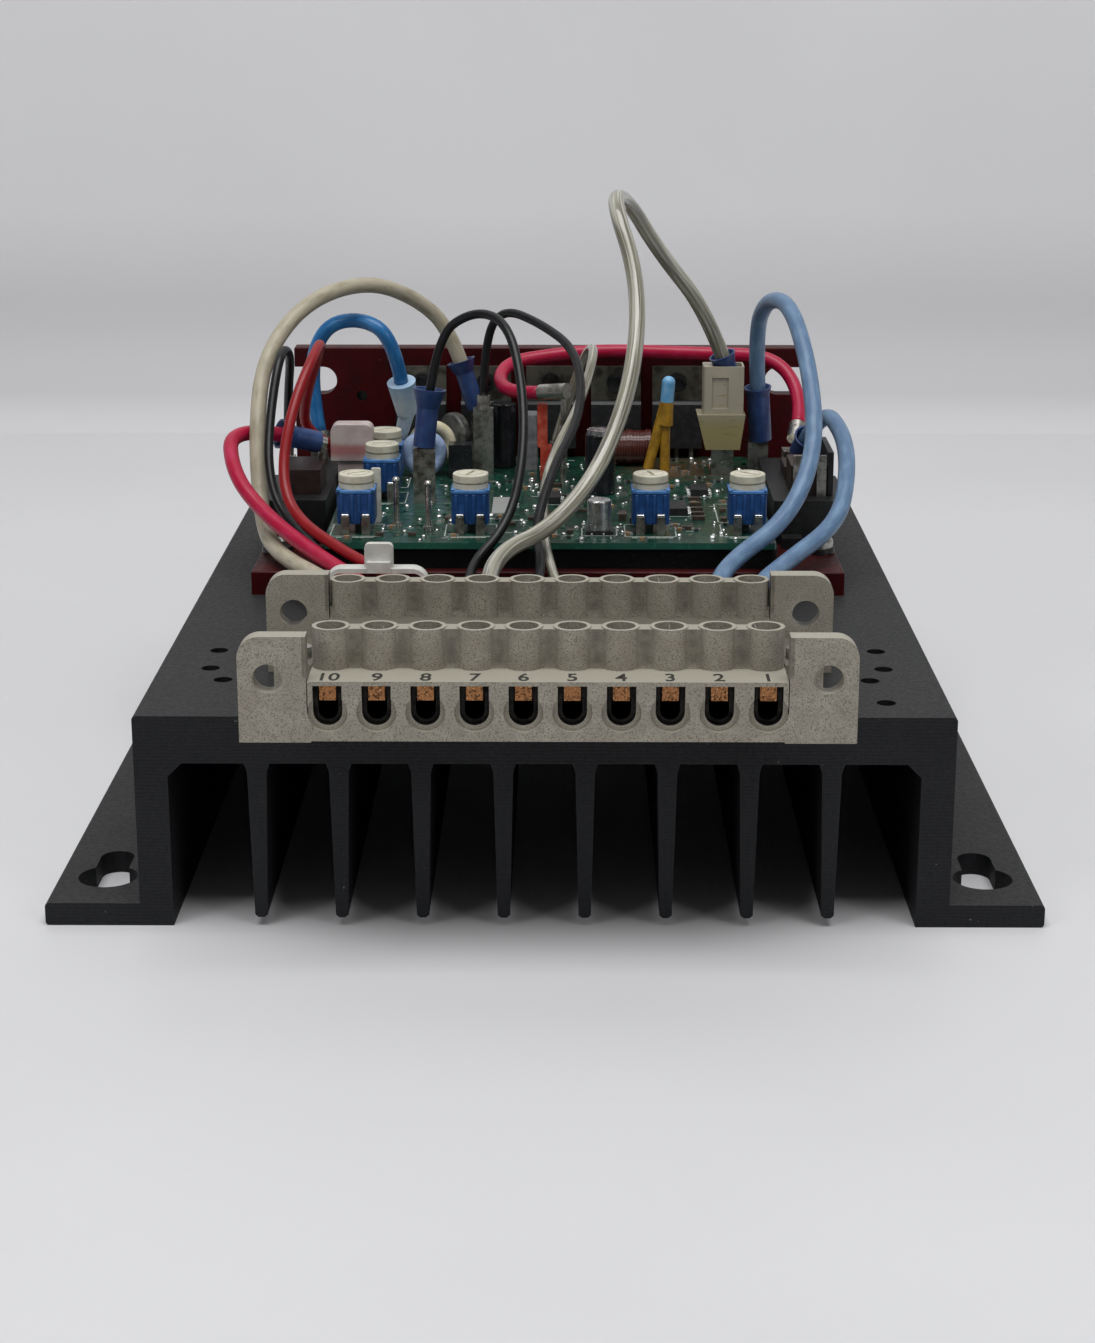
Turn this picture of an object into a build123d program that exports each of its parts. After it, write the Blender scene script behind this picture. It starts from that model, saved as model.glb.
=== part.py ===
"""DC motor speed controller: finned heatsink, red frame, control board, leads and terminal strip.

Frame: X to the right, +Y to the back, +Z up, millimetres. The floor is Z = 0 and the origin is
the middle of the whole object's footprint. Heights of the parts on the heatsink are given from
its top face, and depths from its front face; at() turns both into the frame.
"""
import math
import os

from build123d import *

os.makedirs("parts", exist_ok=True)

# heatsink: an extruded block with side flanges and eight fins
block_w = 175.0
flange_reach = 20.7
flange_w = block_w + 2 * flange_reach
flange_t = 5.1
sink_h = 47.5
sink_l = 250.0
top_t = 10.5
wall_t = 7.2
fin_count = 8
fin_pitch = 17.5
fin_root = 4.2
fin_tip = 2.7
fin_floor_gap = 2.0
key_big_d = 13.2
key_slot_w = 7.5
key_x = block_w / 2 + flange_reach * 97 / 207
key_y = 16.2
key_slot_reach = 12.5
rear_hole_d = 7.0
rear_hole_inset = 16.0
tap_d = 4.2
tap_depth = 9.0

# terminal strip: plug half in front, socket half behind
poles = 10
pole_pitch = 10.0
strip_x = 0.9
plug_front = -18.0
strip_split = 12.0
socket_back = 48.6
plug_top = 13.0
socket_top = 15.0
socket_deck = 12.7
socket_step = 34.4
tower_od = 7.9
tower_bore = 6.1
plug_tower_y = -6.0
plug_tower_top = 21.7
socket_tower_y = 36.6
socket_tower_top = 21.0
strip_body_half = 50.2
ear_half = 63.2
ear_top = 22.4
ear_t = 4.4
ear_hole_d = 6.1
ear_hole_x = 57.1
ear_hole_z = 13.6
entry_w = 6.0
entry_low = 3.4
entry_high = 12.1
contact_y = 44.0
wire_room_top = 8.7
empty_poles = (6, 7)

# red frame: base plate and rear plate
frame_w = 148.4
frame_front = 103.0
rear_plate_y = 217.0
plate_t = 6.0
rear_plate_h = 44.4
end_slot_h = 8.0
end_slot_reach = 12.2
end_slot_z = 34.8
frame_screw_x = frame_w / 2 - 4.3
frame_screw_y = 124.7

# control board on its black carrier
board_left = -56.4
board_right = 57.1
board_front = 104.8
board_back = rear_plate_y - 2.5
board_t = 1.6
board_z = 13.0
carrier_front = 106.5
carrier_back = rear_plate_y - 13.0

# adjusting trimmers
trim_w = 9.5
trim_z = 15.6
trim_h = 8.6
dial_d = 9.0
dial_h = 3.7
dial_shaft_d = 3.0
dial_shaft_l = 3.0
running_gap = 0.05

# power devices, side modules, leads
device_w = 14.4
device_x = (-37.4, -18.6, 0.2, 19.0, 36.7)
device_front = rear_plate_y - 5.7
module_left = 0.2 - frame_w / 2
module_right = frame_w / 2 + 0.4
module_w = 16.0
module_front = 133.0
module_back = 190.0
module_top = 17.6
fat_d = 4.2
pale_d = 4.4
pink_d = 3.9
pink_rear_d = 3.8
bright_d = 4.0
red_d = 2.8
thin_d = 2.4
clear_thin_d = 2.5

front_y = -(sink_l + plug_front) / 2.0


def at(x, y, z):
    """A point from the heatsink's own depths and heights to the frame."""
    return (x, y + front_y, z + sink_h)


def box(x0, x1, y0, y1, z0, z1):
    """A block between two corners, added to the part being built."""
    with Locations(at((x0 + x1) / 2, (y0 + y1) / 2, (z0 + z1) / 2)):
        Box(x1 - x0, y1 - y0, z1 - z0)


def rod(x, y, z0, z1, d, mode=Mode.ADD):
    """An upright round bar."""
    with Locations(at(x, y, z0)):
        Cylinder(d / 2, z1 - z0, align=(Align.CENTER, Align.CENTER, Align.MIN), mode=mode)


def save(part, name):
    part.label = name
    export_step(part, "parts/" + name + ".step")


def pole_x(i):
    return strip_x + pole_pitch * (i - (poles - 1) / 2)


# 1 heatsink
half = block_w / 2
flange_half = flange_w / 2
under = sink_h - top_t
inner = half - wall_t
with BuildPart() as heatsink:
    with BuildSketch(Plane.XZ.offset(-front_y)):
        with BuildLine():
            Polyline(
                (-flange_half, 0), (-inner, 0), (-inner, under - 3), (-inner + 3, under),
                (inner - 3, under), (inner, under - 3), (inner, 0), (flange_half, 0),
                (flange_half, flange_t), (half, flange_t), (half, sink_h), (-half, sink_h),
                (-half, flange_t), (-flange_half, flange_t), close=True)
        make_face()
        for i in range(fin_count):
            fx = fin_pitch * (i - (fin_count - 1) / 2)
            with BuildLine():
                Polyline(
                    (fx - fin_root / 2 - 0.8, under + 0.5), (fx - fin_root / 2, under - 2),
                    (fx - fin_tip / 2, fin_floor_gap + 0.6), (fx - fin_tip / 2 + 0.7, fin_floor_gap),
                    (fx + fin_tip / 2 - 0.7, fin_floor_gap), (fx + fin_tip / 2, fin_floor_gap + 0.6),
                    (fx + fin_root / 2, under - 2), (fx + fin_root / 2 + 0.8, under + 0.5), close=True)
            make_face()
    extrude(amount=-sink_l)
    long_edges = heatsink.edges().filter_by(Axis.Y)
    outer = long_edges.filter_by_position(Axis.Z, sink_h - 0.1, sink_h + 0.1)
    rim = long_edges.filter_by(lambda e: abs(abs(e.center().X) - flange_half) < 0.1)
    fillet(outer + rim, radius=0.9)
    with BuildSketch(Plane.XY):
        for sx in (-1, 1):
            with Locations((sx * key_x, key_y + front_y)):
                Circle(key_big_d / 2)
            with Locations((sx * key_x, key_y + key_slot_reach / 2 + front_y)):
                SlotCenterToCenter(key_slot_reach, key_slot_w, rotation=90)
            with Locations((sx * key_x, sink_l - rear_hole_inset + front_y)):
                Circle(rear_hole_d / 2)
    extrude(amount=flange_t + 1, mode=Mode.SUBTRACT)
    for middle, inset, hy in ((0.275, 11.625, 51.5), (0.275, 11.625, 36.8), (0.2, 15.7, 27.6)):
        for sx in (-1, 1):
            rod(middle + sx * (half - inset), hy, -tap_depth, 1.0, tap_d, Mode.SUBTRACT)
    rod(half - 13.9, 10.8, -tap_depth, 1.0, tap_d, Mode.SUBTRACT)
    for sx in (-1, 1):
        rod(sx * frame_screw_x, frame_screw_y, -8.0, 1.0, 4.0, Mode.SUBTRACT)
save(heatsink.part, "heatsink")

# 2 red base plate, lying on the heatsink
with BuildPart() as base_plate:
    box(-frame_w / 2, frame_w / 2, frame_front, rear_plate_y, 0, plate_t)
    plate_top = sink_h + plate_t
    chamfer(base_plate.edges().filter_by_position(Axis.Z, plate_top - 0.01, plate_top + 0.01), 0.3)
    for sx in (-1, 1):
        rod(sx * frame_screw_x, frame_screw_y, -1, plate_t + 1, 4.2, Mode.SUBTRACT)
save(base_plate.part, "base_plate")

# 3 red rear plate with a slot open to each end
with BuildPart() as rear_plate:
    box(-frame_w / 2, frame_w / 2, rear_plate_y, rear_plate_y + plate_t, 0, rear_plate_h)
    rear_top = sink_h + rear_plate_h
    chamfer(rear_plate.edges().filter_by_position(Axis.Z, rear_top - 0.01, rear_top + 0.01), 0.3)
    with BuildSketch(Plane.XZ.offset(-(rear_plate_y + front_y - 1))):
        for sx in (-1, 1):
            mid = sx * (frame_w / 2 - end_slot_reach / 2 + 3)
            with Locations((mid, sink_h + end_slot_z)):
                SlotOverall(end_slot_reach + 6, end_slot_h)
        with Locations((19.4 - frame_w / 2, sink_h + 30.3)):
            Circle(1.6)
        for dx in device_x:
            with Locations((dx, sink_h + 34.8)):
                Circle(1.6)
    extrude(amount=-(plate_t + 2), mode=Mode.SUBTRACT)
save(rear_plate.part, "rear_plate")

# 4 black carrier under the board
with BuildPart() as board_carrier:
    box(board_left - 0.6, board_right + 0.6, carrier_front, carrier_back, plate_t, board_z - board_t)
    fillet(board_carrier.edges().filter_by(Axis.Z), radius=1.5)
    with Locations(at((board_left + board_right) / 2, (carrier_front + carrier_back) / 2, plate_t)):
        Box(board_right - board_left - 14, carrier_back - carrier_front - 14, 3,
            align=(Align.CENTER, Align.CENTER, Align.MIN), mode=Mode.SUBTRACT)
save(board_carrier.part, "board_carrier")

# 5 circuit board
with BuildPart() as circuit_board:
    box(board_left, board_right, board_front, board_back, board_z - board_t, board_z)
    fillet(circuit_board.edges().filter_by(Axis.Z), radius=0.8)
save(circuit_board.part, "circuit_board")

# 6 frame screws and their washers
with BuildPart() as frame_washers:
    for sx in (-1, 1):
        rod(sx * frame_screw_x, frame_screw_y, plate_t, plate_t + 1.5, 8.0)
        rod(sx * frame_screw_x, frame_screw_y, plate_t - 1, plate_t + 2, 4.2, Mode.SUBTRACT)
save(frame_washers.part, "frame_washers")
with BuildPart() as frame_screws:
    for sx in (-1, 1):
        rod(sx * frame_screw_x, frame_screw_y, plate_t + 1.5, plate_t + 4.3, 7.0)
    fillet(frame_screws.edges().filter_by_position(
        Axis.Z, sink_h + plate_t + 4.2, sink_h + plate_t + 4.4), 1.3)
    for sx in (-1, 1):
        rod(sx * frame_screw_x, frame_screw_y, -7.0, plate_t + 1.6, 3.9)
        with Locations(at(sx * frame_screw_x, frame_screw_y, plate_t + 4.3)):
            Box(1.0, 8, 2.2, mode=Mode.SUBTRACT)
save(frame_screws.part, "frame_screws")


# 7 terminal strip halves
def entries(face_y, step, depth):
    """Wire entries cut in the face at face_y; step is the way inwards along Y."""
    low = entry_low + entry_w / 2
    xs = [pole_x(i) for i in range(poles)]
    with Locations([at(x, face_y + step * depth / 2, (low + entry_high) / 2) for x in xs]):
        Box(entry_w, depth, entry_high - low, mode=Mode.SUBTRACT)
    with Locations([at(x, face_y + step * depth / 2, low) for x in xs]):
        Cylinder(entry_w / 2, depth, rotation=(90, 0, 0), mode=Mode.SUBTRACT)
    with Locations([at(x, face_y + step * 0.5, low) for x in xs]):
        Cylinder(entry_w / 2 + 1.1, 1.0, rotation=(90, 0, 0), mode=Mode.SUBTRACT)


def pole_rods(y, low, high, d, mode=Mode.ADD):
    with Locations([at(pole_x(i), y, low) for i in range(poles)]):
        Cylinder(d / 2, high - low, align=(Align.CENTER, Align.CENTER, Align.MIN), mode=mode)


def towers(y, low, high):
    pole_rods(y, low, high, tower_od)
    box(pole_x(0), pole_x(poles - 1), y - 2.0, y + 2.0, low, high - 0.25)


def ears(y0, foot):
    for sx in (-1, 1):
        with BuildSketch(Plane.XZ.offset(-(y0 + front_y))) as ear:
            x0 = strip_x + sx * (strip_body_half - 1)
            x1 = strip_x + sx * ear_half
            with Locations(((x0 + x1) / 2, sink_h + (ear_top + foot) / 2)):
                Rectangle(abs(x1 - x0), ear_top - foot)
            corner = ear.vertices().sort_by(Axis.Y)[-2:].sort_by(Axis.X)[0 if sx < 0 else -1]
            fillet(corner, radius=4.5)
            with Locations((strip_x + sx * ear_hole_x, sink_h + ear_hole_z)):
                Circle(ear_hole_d / 2, mode=Mode.SUBTRACT)
        extrude(ear.sketch, amount=-ear_t)


bar_half = strip_body_half - 1.2
with BuildPart() as terminal_plug:
    box(strip_x - bar_half, strip_x + bar_half, plug_front, strip_split, 0.3, plug_top)
    towers(plug_tower_y, plug_top - 1, plug_tower_top)
    for sx in (-1, 1):
        x0, x1 = sorted((strip_x + sx * (bar_half - 0.5), strip_x + sx * ear_half))
        box(x0, x1, plug_front, plug_front + ear_t, 0, 6)
    ears(plug_front, 0)
    entries(plug_front, 1, 20.0)
    pole_rods(plug_tower_y, plug_top - 3, plug_tower_top + 1, tower_bore, Mode.SUBTRACT)
save(terminal_plug.part, "terminal_plug")

with BuildPart() as terminal_socket:
    box(strip_x - bar_half, strip_x + bar_half, strip_split, socket_step + 1, 0, socket_deck)
    box(strip_x - bar_half, strip_x + bar_half, socket_step, socket_back, 0, socket_top)
    towers(socket_tower_y, socket_deck - 1, socket_tower_top)
    for sx in (-1, 1):
        x0, x1 = sorted((strip_x + sx * (bar_half - 0.5), strip_x + sx * (ear_hole_x + 2.0)))
        box(x0, x1, strip_split, 36.0, 0, 8.0)
        xa, xb = sorted((strip_x + sx * (bar_half + 0.6), strip_x + sx * (ear_hole_x + 0.5)))
        box(xa, xb, -2.0, strip_split + 1, 0, 12.0)
    ears(34.0, 0)
    entries(socket_back, -1, 20.0)
    pole_rods(socket_tower_y, socket_top - 5, socket_tower_top + 1, tower_bore, Mode.SUBTRACT)
save(terminal_socket.part, "terminal_socket")


# 8 clamping blocks, copper clamp plates and clamp screws in the towers
def clamp_block(i, y0, y1, low):
    box(pole_x(i) - 2.8, pole_x(i) + 2.8, y0, y1, low, entry_high - 0.6)


with BuildPart() as plug_cages:
    for i in range(poles):
        clamp_block(i, plug_front + 3.0, plug_front + 19.0, wire_room_top)
save(plug_cages.part, "plug_cages")
with BuildPart() as socket_cages:
    for i in range(poles):
        if i not in empty_poles:
            clamp_block(i, contact_y - 13.0, contact_y, entry_low + 0.55)
    fillet(socket_cages.edges().filter_by(Axis.Y).filter_by_position(Axis.Z, sink_h, sink_h + 5), 2.2)
    for i in empty_poles:
        clamp_block(i, contact_y - 13.0, contact_y, wire_room_top)
save(socket_cages.part, "socket_cages")
with BuildPart() as clamp_plates:
    for i in range(poles):
        box(pole_x(i) - 1.7, pole_x(i) + 1.7, plug_front + 1.6, plug_front + 3.0, 8.6, 11.7)
save(clamp_plates.part, "clamp_plates")
with BuildPart() as terminal_screws:
    for sy in (plug_tower_y, socket_tower_y):
        pole_rods(sy, entry_high - 0.6, 15.0, 5.4)
        with Locations([at(pole_x(i), sy, 15.0) for i in range(poles)]):
            Box(6.0, 0.9, 2.0, mode=Mode.SUBTRACT)
    for sx in (-1, 1):
        lock_x = strip_x + sx * (bar_half + 3.4)
        rod(lock_x, 4.0, 12.0, 14.4, 4.6)
save(terminal_screws.part, "terminal_screws")

# 9 trimmers: four in the front row, two behind on the left
trim_places = ((-48.7, 119.0), (-19.7, 119.0), (26.0, 119.0), (50.6, 119.0),
               (-44.9, 158.0), (-45.4, 178.0))
with BuildPart() as trimmer_bodies:
    for tx, ty in trim_places:
        box(tx - trim_w / 2, tx + trim_w / 2, ty - trim_w / 2, ty + trim_w / 2, trim_z, trim_z + trim_h)
    fillet(trimmer_bodies.edges().filter_by(Axis.Z), radius=0.6)
    for tx, ty in trim_places:
        rod(tx, ty, trim_z + trim_h - dial_shaft_l - 0.2, trim_z + trim_h + 1,
            dial_shaft_d + 2 * running_gap, Mode.SUBTRACT)
save(trimmer_bodies.part, "trimmer_bodies")
with BuildPart() as trimmer_legs:
    for tx, ty in trim_places:
        for lx in (-2.6, 2.6):
            box(tx + lx - 1.05, tx + lx + 1.05, ty - trim_w / 2 - 1.2, ty - trim_w / 2,
                board_z, board_z + 5.2)
        box(tx - 1.05, tx + 1.05, ty + trim_w / 2, ty + trim_w / 2 + 1.0, board_z, board_z + 5.2)
    fillet(trimmer_legs.edges().filter_by(Axis.Y).filter_by_position(
        Axis.Z, sink_h + board_z + 5.1, sink_h + board_z + 5.3), radius=0.7)
save(trimmer_legs.part, "trimmer_legs")
for n, (tx, ty) in enumerate(trim_places, start=1):
    dial_low = trim_z + trim_h + running_gap
    with BuildPart() as trimmer_dial:
        rod(tx, ty, dial_low, dial_low + dial_h, dial_d)
        fillet(trimmer_dial.edges().filter_by_position(
            Axis.Z, sink_h + dial_low + dial_h - 0.01, sink_h + dial_low + dial_h + 0.01), 0.4)
        rod(tx, ty, dial_low - dial_shaft_l, dial_low + 0.5, dial_shaft_d)
        with Locations(at(tx, ty, dial_low + dial_h)):
            Box(5.2, 0.9, 1.2, rotation=(0, 0, 35 * n), mode=Mode.SUBTRACT)
    save(trimmer_dial.part, "trimmer_dial_%d" % n)

# 10 small board parts
with BuildPart() as test_posts:
    for px, py in ((-38.9, 122.4), (-30.5, 117.9)):
        rod(px, py, board_z, board_z + 12.4, 1.5)
        rod(px, py, board_z, board_z + 1.4, 2.6)
        with Locations(at(px, py, board_z + 12.2)):
            Sphere(1.0)
save(test_posts.part, "test_posts")
with BuildPart() as white_strip:
    box(-45.7, -43.2, 127.6, 128.9, board_z, 27.2)
    fillet(white_strip.edges().filter_by(Axis.Y), 0.5)
save(white_strip.part, "white_strip")
with BuildPart() as soic_chips:
    box(31.2, 36.4, 136.0, 146.0, board_z, board_z + 1.9)
    box(9.6, 16.5, 113.6, 120.5, board_z, board_z + 1.0)
    box(-1.6, 3.0, 150.0, 158.0, board_z, board_z + 1.8)
    box(38.5, 43.0, 160.0, 168.0, board_z, board_z + 1.8)
save(soic_chips.part, "soic_chips")
with BuildPart() as chip_parts:
    for cx, cy, cw, cd, ch in (
            (-42.6, 112.2, 2.0, 1.4, 1.0), (-34.4, 112.4, 2.0, 1.4, 1.0), (-26.0, 131.0, 1.6, 3.0, 0.9),
            (-9.6, 124.0, 2.4, 1.5, 1.0), (-4.6, 131.0, 1.5, 2.6, 0.9), (19.2, 132.0, 1.9, 4.6, 1.8),
            (22.0, 128.0, 1.9, 4.6, 1.8), (39.0, 131.0, 3.2, 1.6, 1.1), (39.0, 136.0, 3.2, 1.6, 1.1),
            (39.0, 141.5, 3.2, 1.6, 1.1), (39.0, 147.5, 3.2, 1.6, 1.1), (39.0, 154.0, 3.2, 1.6, 1.1),
            (45.4, 130.0, 1.6, 3.0, 1.0), (45.8, 141.0, 1.6, 3.0, 1.0), (35.4, 120.0, 3.0, 1.5, 1.0),
            (5.5, 116.0, 1.5, 2.8, 1.0), (-13.0, 112.0, 2.8, 1.5, 0.9), (9.0, 140.0, 2.8, 1.5, 0.9),
            (-20.0, 162.0, 1.5, 3.0, 1.0), (2.0, 172.0, 3.0, 1.6, 1.0)):
        box(cx - cw / 2, cx + cw / 2, cy - cd / 2, cy + cd / 2, board_z, board_z + ch)
save(chip_parts.part, "chip_parts")

# 11 capacitors and coils
with BuildPart() as capacitor_cans:
    rod(13.0, 117.0, board_z + 1.0, board_z + 8.6, 6.2)
    rod(13.8, 164.0, board_z + 16.6, board_z + 17.6, 7.2)
    fillet(capacitor_cans.edges().filter_by_position(
        Axis.Z, sink_h + board_z + 8.5, sink_h + board_z + 8.7), 0.6)
save(capacitor_cans.part, "capacitor_cans")
with BuildPart() as black_capacitors:
    rod(13.8, 164.0, board_z, board_z + 16.6, 8.2)
    rod(-13.3, 200.0, board_z, board_z + 18.4, 7.2)
    fillet(black_capacitors.edges().filter_by(GeomType.CIRCLE), 0.5)
    box(-28.2, -21.6, 182.0, 187.8, board_z, board_z + 9.6)
save(black_capacitors.part, "black_capacitors")
with BuildPart() as disc_varistor:
    with Locations(Plane(origin=at(-27.0, 197.0, 22.8), z_dir=(0.8, 0.6, 0)).location):
        Cylinder(6.3, 3.6)
    fillet(disc_varistor.edges(), 1.2)
    rod(-27.0, 197.0, board_z, 17.6, 1.2)
save(disc_varistor.part, "disc_varistor")
with BuildPart() as choke:
    with Locations(at(22.6, 203.0, board_z + 5.1)):
        Cylinder(4.8, 11.0, rotation=(0, 90, 0))
        Cylinder(5.1, 1.6, rotation=(0, 90, 0))
    for sx in (-5.4, 5.4):
        with Locations(at(22.6 + sx, 203.0, board_z + 5.1)):
            Cylinder(5.1, 1.6, rotation=(0, 90, 0))
save(choke.part, "choke")
with BuildPart() as grey_capacitor:
    box(-7.9, -3.6, 195.0, 203.0, board_z, board_z + 7.8)
    box(-7.6, -3.7, 195.3, 202.7, board_z + 7.8, board_z + 15.6)
    fillet(grey_capacitor.edges().filter_by(Axis.Z), 0.5)
save(grey_capacitor.part, "grey_capacitor")
with BuildPart() as red_capacitor:
    box(-3.4, -0.6, 181.8, 184.2, 22.0, 34.2)
    fillet(red_capacitor.edges().filter_by(Axis.Y), 0.7)
    box(-2.6, 0.6, 181.6, 184.4, board_z, 22.6)
save(red_capacitor.part, "red_capacitor")
with BuildPart() as ring_coil:
    with Locations(at(-35.2, 185.6, board_z + 6.6)):
        Torus(4.6, 2.0, rotation=(90, 12, 0))
save(ring_coil.part, "ring_coil")
with BuildPart() as ring_core:
    with Locations(at(-33.2, 190.8, board_z + 8.2)):
        Torus(5.2, 1.6, rotation=(90, 8, 0))
    rod(-33.2, 190.8, board_z, board_z + 1.8, 2.4)
save(ring_core.part, "ring_core")


def bar(a, b, r0, r1, mode=Mode.ADD):
    """A straight tapered round bar between two points of the frame."""
    way = b - a
    with Locations(Plane(origin=a, z_dir=way).location):
        if abs(r0 - r1) < 0.01:
            Cylinder(r0, way.length, align=(Align.CENTER, Align.CENTER, Align.MIN), mode=mode)
        else:
            Cone(r0, r1, way.length, align=(Align.CENTER, Align.CENTER, Align.MIN), mode=mode)


def limb(p, q, r0, r1):
    bar(Vector(*at(*p)), Vector(*at(*q)), r0, r1)


def butt(tip, before, r0, r1, length):
    """A bar that meets a lead's end face square and goes on the way the lead points."""
    way = (tip - before).normalized()
    bar(tip, tip + way * length, r0, r1)
    return tip + way * length


with BuildPart() as sleeved_resistor:
    limb((27.8, 195.0, board_z + 0.4), (32.4, 195.0, 31.4), 1.4, 1.6)
    rod(27.8, 195.0, board_z, board_z + 1.2, 2.4)
    limb((32.6, 195.0, board_z), (32.6, 195.0, 30.0), 1.4, 1.5)
    limb((32.5, 195.0, 26.0), (33.0, 195.0, 32.6), 2.3, 1.9)
save(sleeved_resistor.part, "sleeved_resistor")
with BuildPart() as blue_tip:
    limb((33.0, 195.0, 32.6), (33.4, 195.0, 38.0), 1.9, 1.9)
    with Locations(at(33.4, 195.0, 38.0)):
        Sphere(1.9)
save(blue_tip.part, "blue_tip")

# 12 power devices against the rear plate
with BuildPart() as device_tabs:
    for dx in device_x:
        box(dx - device_w / 2, dx + device_w / 2, rear_plate_y - 1.5, rear_plate_y, 16.0, 39.2)
        for lx in (-4.2, 0.0, 4.2):
            box(dx + lx - 0.6, dx + lx + 0.6, device_front + 1.3, device_front + 2.0, board_z, 17.0)
    with BuildSketch(Plane.XZ.offset(-(rear_plate_y + front_y - 3))):
        for dx in device_x:
            with Locations((dx, sink_h + 34.8)):
                Circle(1.6)
    extrude(amount=-5, mode=Mode.SUBTRACT)
save(device_tabs.part, "device_tabs")
with BuildPart() as device_bodies:
    for dx in device_x:
        box(dx - device_w / 2, dx + device_w / 2, device_front, rear_plate_y - 1.5, 16.0, 29.6)
    chamfer(device_bodies.edges().filter_by(Axis.X).filter_by_position(
        Axis.Z, sink_h + 29.5, sink_h + 29.7).filter_by_position(
        Axis.Y, device_front + front_y - 0.1, device_front + front_y + 0.1), 0.8)
    for dx in device_x:
        for lx in (-4.2, 0.0, 4.2):
            with Locations(at(dx + lx, device_front + 1.65, 16.5)):
                Box(1.2, 0.7, 1.0, mode=Mode.SUBTRACT)
save(device_bodies.part, "device_bodies")
with BuildPart() as device_screws:
    for dx in device_x:
        with Locations(at(dx, rear_plate_y - 2.6, 34.8)):
            Cylinder(2.7, 2.2, rotation=(90, 0, 0))
        with Locations(at(dx, rear_plate_y + 1.0, 34.8)):
            Cylinder(1.5, 5.4, rotation=(90, 0, 0))
        with Locations(at(dx, rear_plate_y - 3.7, 34.8)):
            Cylinder(1.4, 2.0, rotation=(90, 0, 0), mode=Mode.SUBTRACT)
save(device_screws.part, "device_screws")

# 13 side modules: black cases, brown terminal blocks, tinned tabs
with BuildPart() as module_cases:
    box(module_left, module_left + module_w, module_front, module_back, plate_t, module_top)
    box(module_right - module_w, module_right, module_front, module_back, plate_t, module_top)
    fillet(module_cases.edges().filter_by(Axis.Z), 1.0)
    box(module_left + 8.0, module_left + 13.4, module_front - 5.4, module_front + 1, plate_t, 8.8)
    box(module_right - 14.0, module_right - 8.6, module_front - 5.4, module_front + 1, plate_t, 8.8)
    box(module_right - 1.4, module_right, 140.0, 162.0, module_top - 1, 29.0)
save(module_cases.part, "module_cases")
with BuildPart() as module_blocks:
    box(module_left + 4.0, module_left + 14.0, 140.0, 158.0, module_top, 24.2)
    box(module_right - 11.0, module_right - 1.4, 140.0, 156.0, module_top, 25.4)
    box(module_right - 11.0, module_right - 1.4, 160.0, 174.0, module_top, 21.0)
    fillet(module_blocks.edges().filter_by(Axis.Z), 0.8)
save(module_blocks.part, "module_blocks")
with BuildPart() as module_tabs:
    box(module_left + 7.6, module_left + 12.0, 180.6, 186.0, module_top, 21.1)
    box(module_left, module_left + 4.0, 170.4, 175.6, module_top, 21.3)
    box(module_right - 10.6, module_right - 8.2, 138.6, 140.0, module_top, 28.4)
    box(module_right - 4.4, module_right - 2.0, 138.6, 140.0, module_top, 28.4)
    box(module_right - 9.6, module_right - 3.0, 180.0, 187.6, module_top, 21.2)
save(module_tabs.part, "module_tabs")


# 14 leads: straight runs joined by tangent arcs
def lead(points, d, name):
    """A round lead along its own route; every bend's radius is printed."""
    pts = [Vector(*at(*p)) for p in points]
    radii = []
    for i in range(1, len(pts) - 1):
        a, b = pts[i] - pts[i - 1], pts[i + 1] - pts[i]
        turn = math.radians(a.get_angle(b))
        radii.append(0.45 * min(a.length, b.length) / math.tan(turn / 2))
    print(name, "radii", " ".join("%.0f" % r for r in radii))
    with BuildPart() as piece:
        with BuildLine() as route:
            FilletPolyline(*pts, radius=radii)
        with BuildSketch(Plane(origin=pts[0], z_dir=pts[1] - pts[0])):
            Circle(d / 2)
        sweep()
    length = route.wire().length
    print(name, "length %.1f volume %.1f of %.1f" % (length, piece.part.volume, length * math.pi * d * d / 4))
    save(piece.part, name)
    return pts


def ends(i, z):
    """Where a lead starts in pole i at height z, and the end of its straight part."""
    return [(pole_x(i), contact_y, z), (pole_x(i), contact_y + 16.0, z)]


beige = ends(0, 6.0) + [
    (-49.5, 78.5, 8), (-69.5, 110.5, 9), (-74.5, 129, 15), (-76.5, 140.5, 35), (-75.5, 155, 52),
    (-65.5, 170, 64.5), (-50, 184.5, 68), (-37, 196, 61.5), (-28, 200.5, 52), (-23.6, 200, 38)]
beige = lead(beige, fat_d, "wire_beige")
pink_left = ends(1, 6.0) + [
    (-45, 80.5, 9), (-57, 98.5, 11.2), (-70.5, 113.5, 17), (-81, 125, 26), (-84, 144, 36),
    (-66, 153.5, 30)]
pink_left = lead(pink_left, pink_d, "wire_pink_left")
black_1 = ends(2, 4.6) + [
    (-37.5, 77.5, 5.5), (-53, 99, 8.4), (-68, 121.5, 15.5), (-72.5, 129.5, 26), (-72.5, 140, 40),
    (-70.5, 150, 54.5), (-69, 161, 52), (-71, 169, 39), (-71.7, 171.6, 27)]
black_1 = lead(black_1, thin_d, "wire_black_1")
red_left = ends(2, 9.0) + [
    (-35.5, 76, 10.8), (-49.2, 94, 12.7), (-64, 111, 18), (-68, 120, 27.5), (-65.5, 129.5, 43.5),
    (-60, 144.5, 56.5), (-60.5, 156.5, 54.5), (-65.6, 161, 39.5), (-66.6, 166, 29),
    (-57.6, 168.6, 24.4)]
red_left = lead(red_left, red_d, "wire_red_left")
bright = [
    (-64.2, 184, 26), (-67, 187, 41), (-63, 186, 55), (-52.5, 184, 58), (-43, 179.5, 53.5),
    (-41.2, 184.5, 40)]
bright = lead(bright, bright_d, "wire_blue_left")
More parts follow.
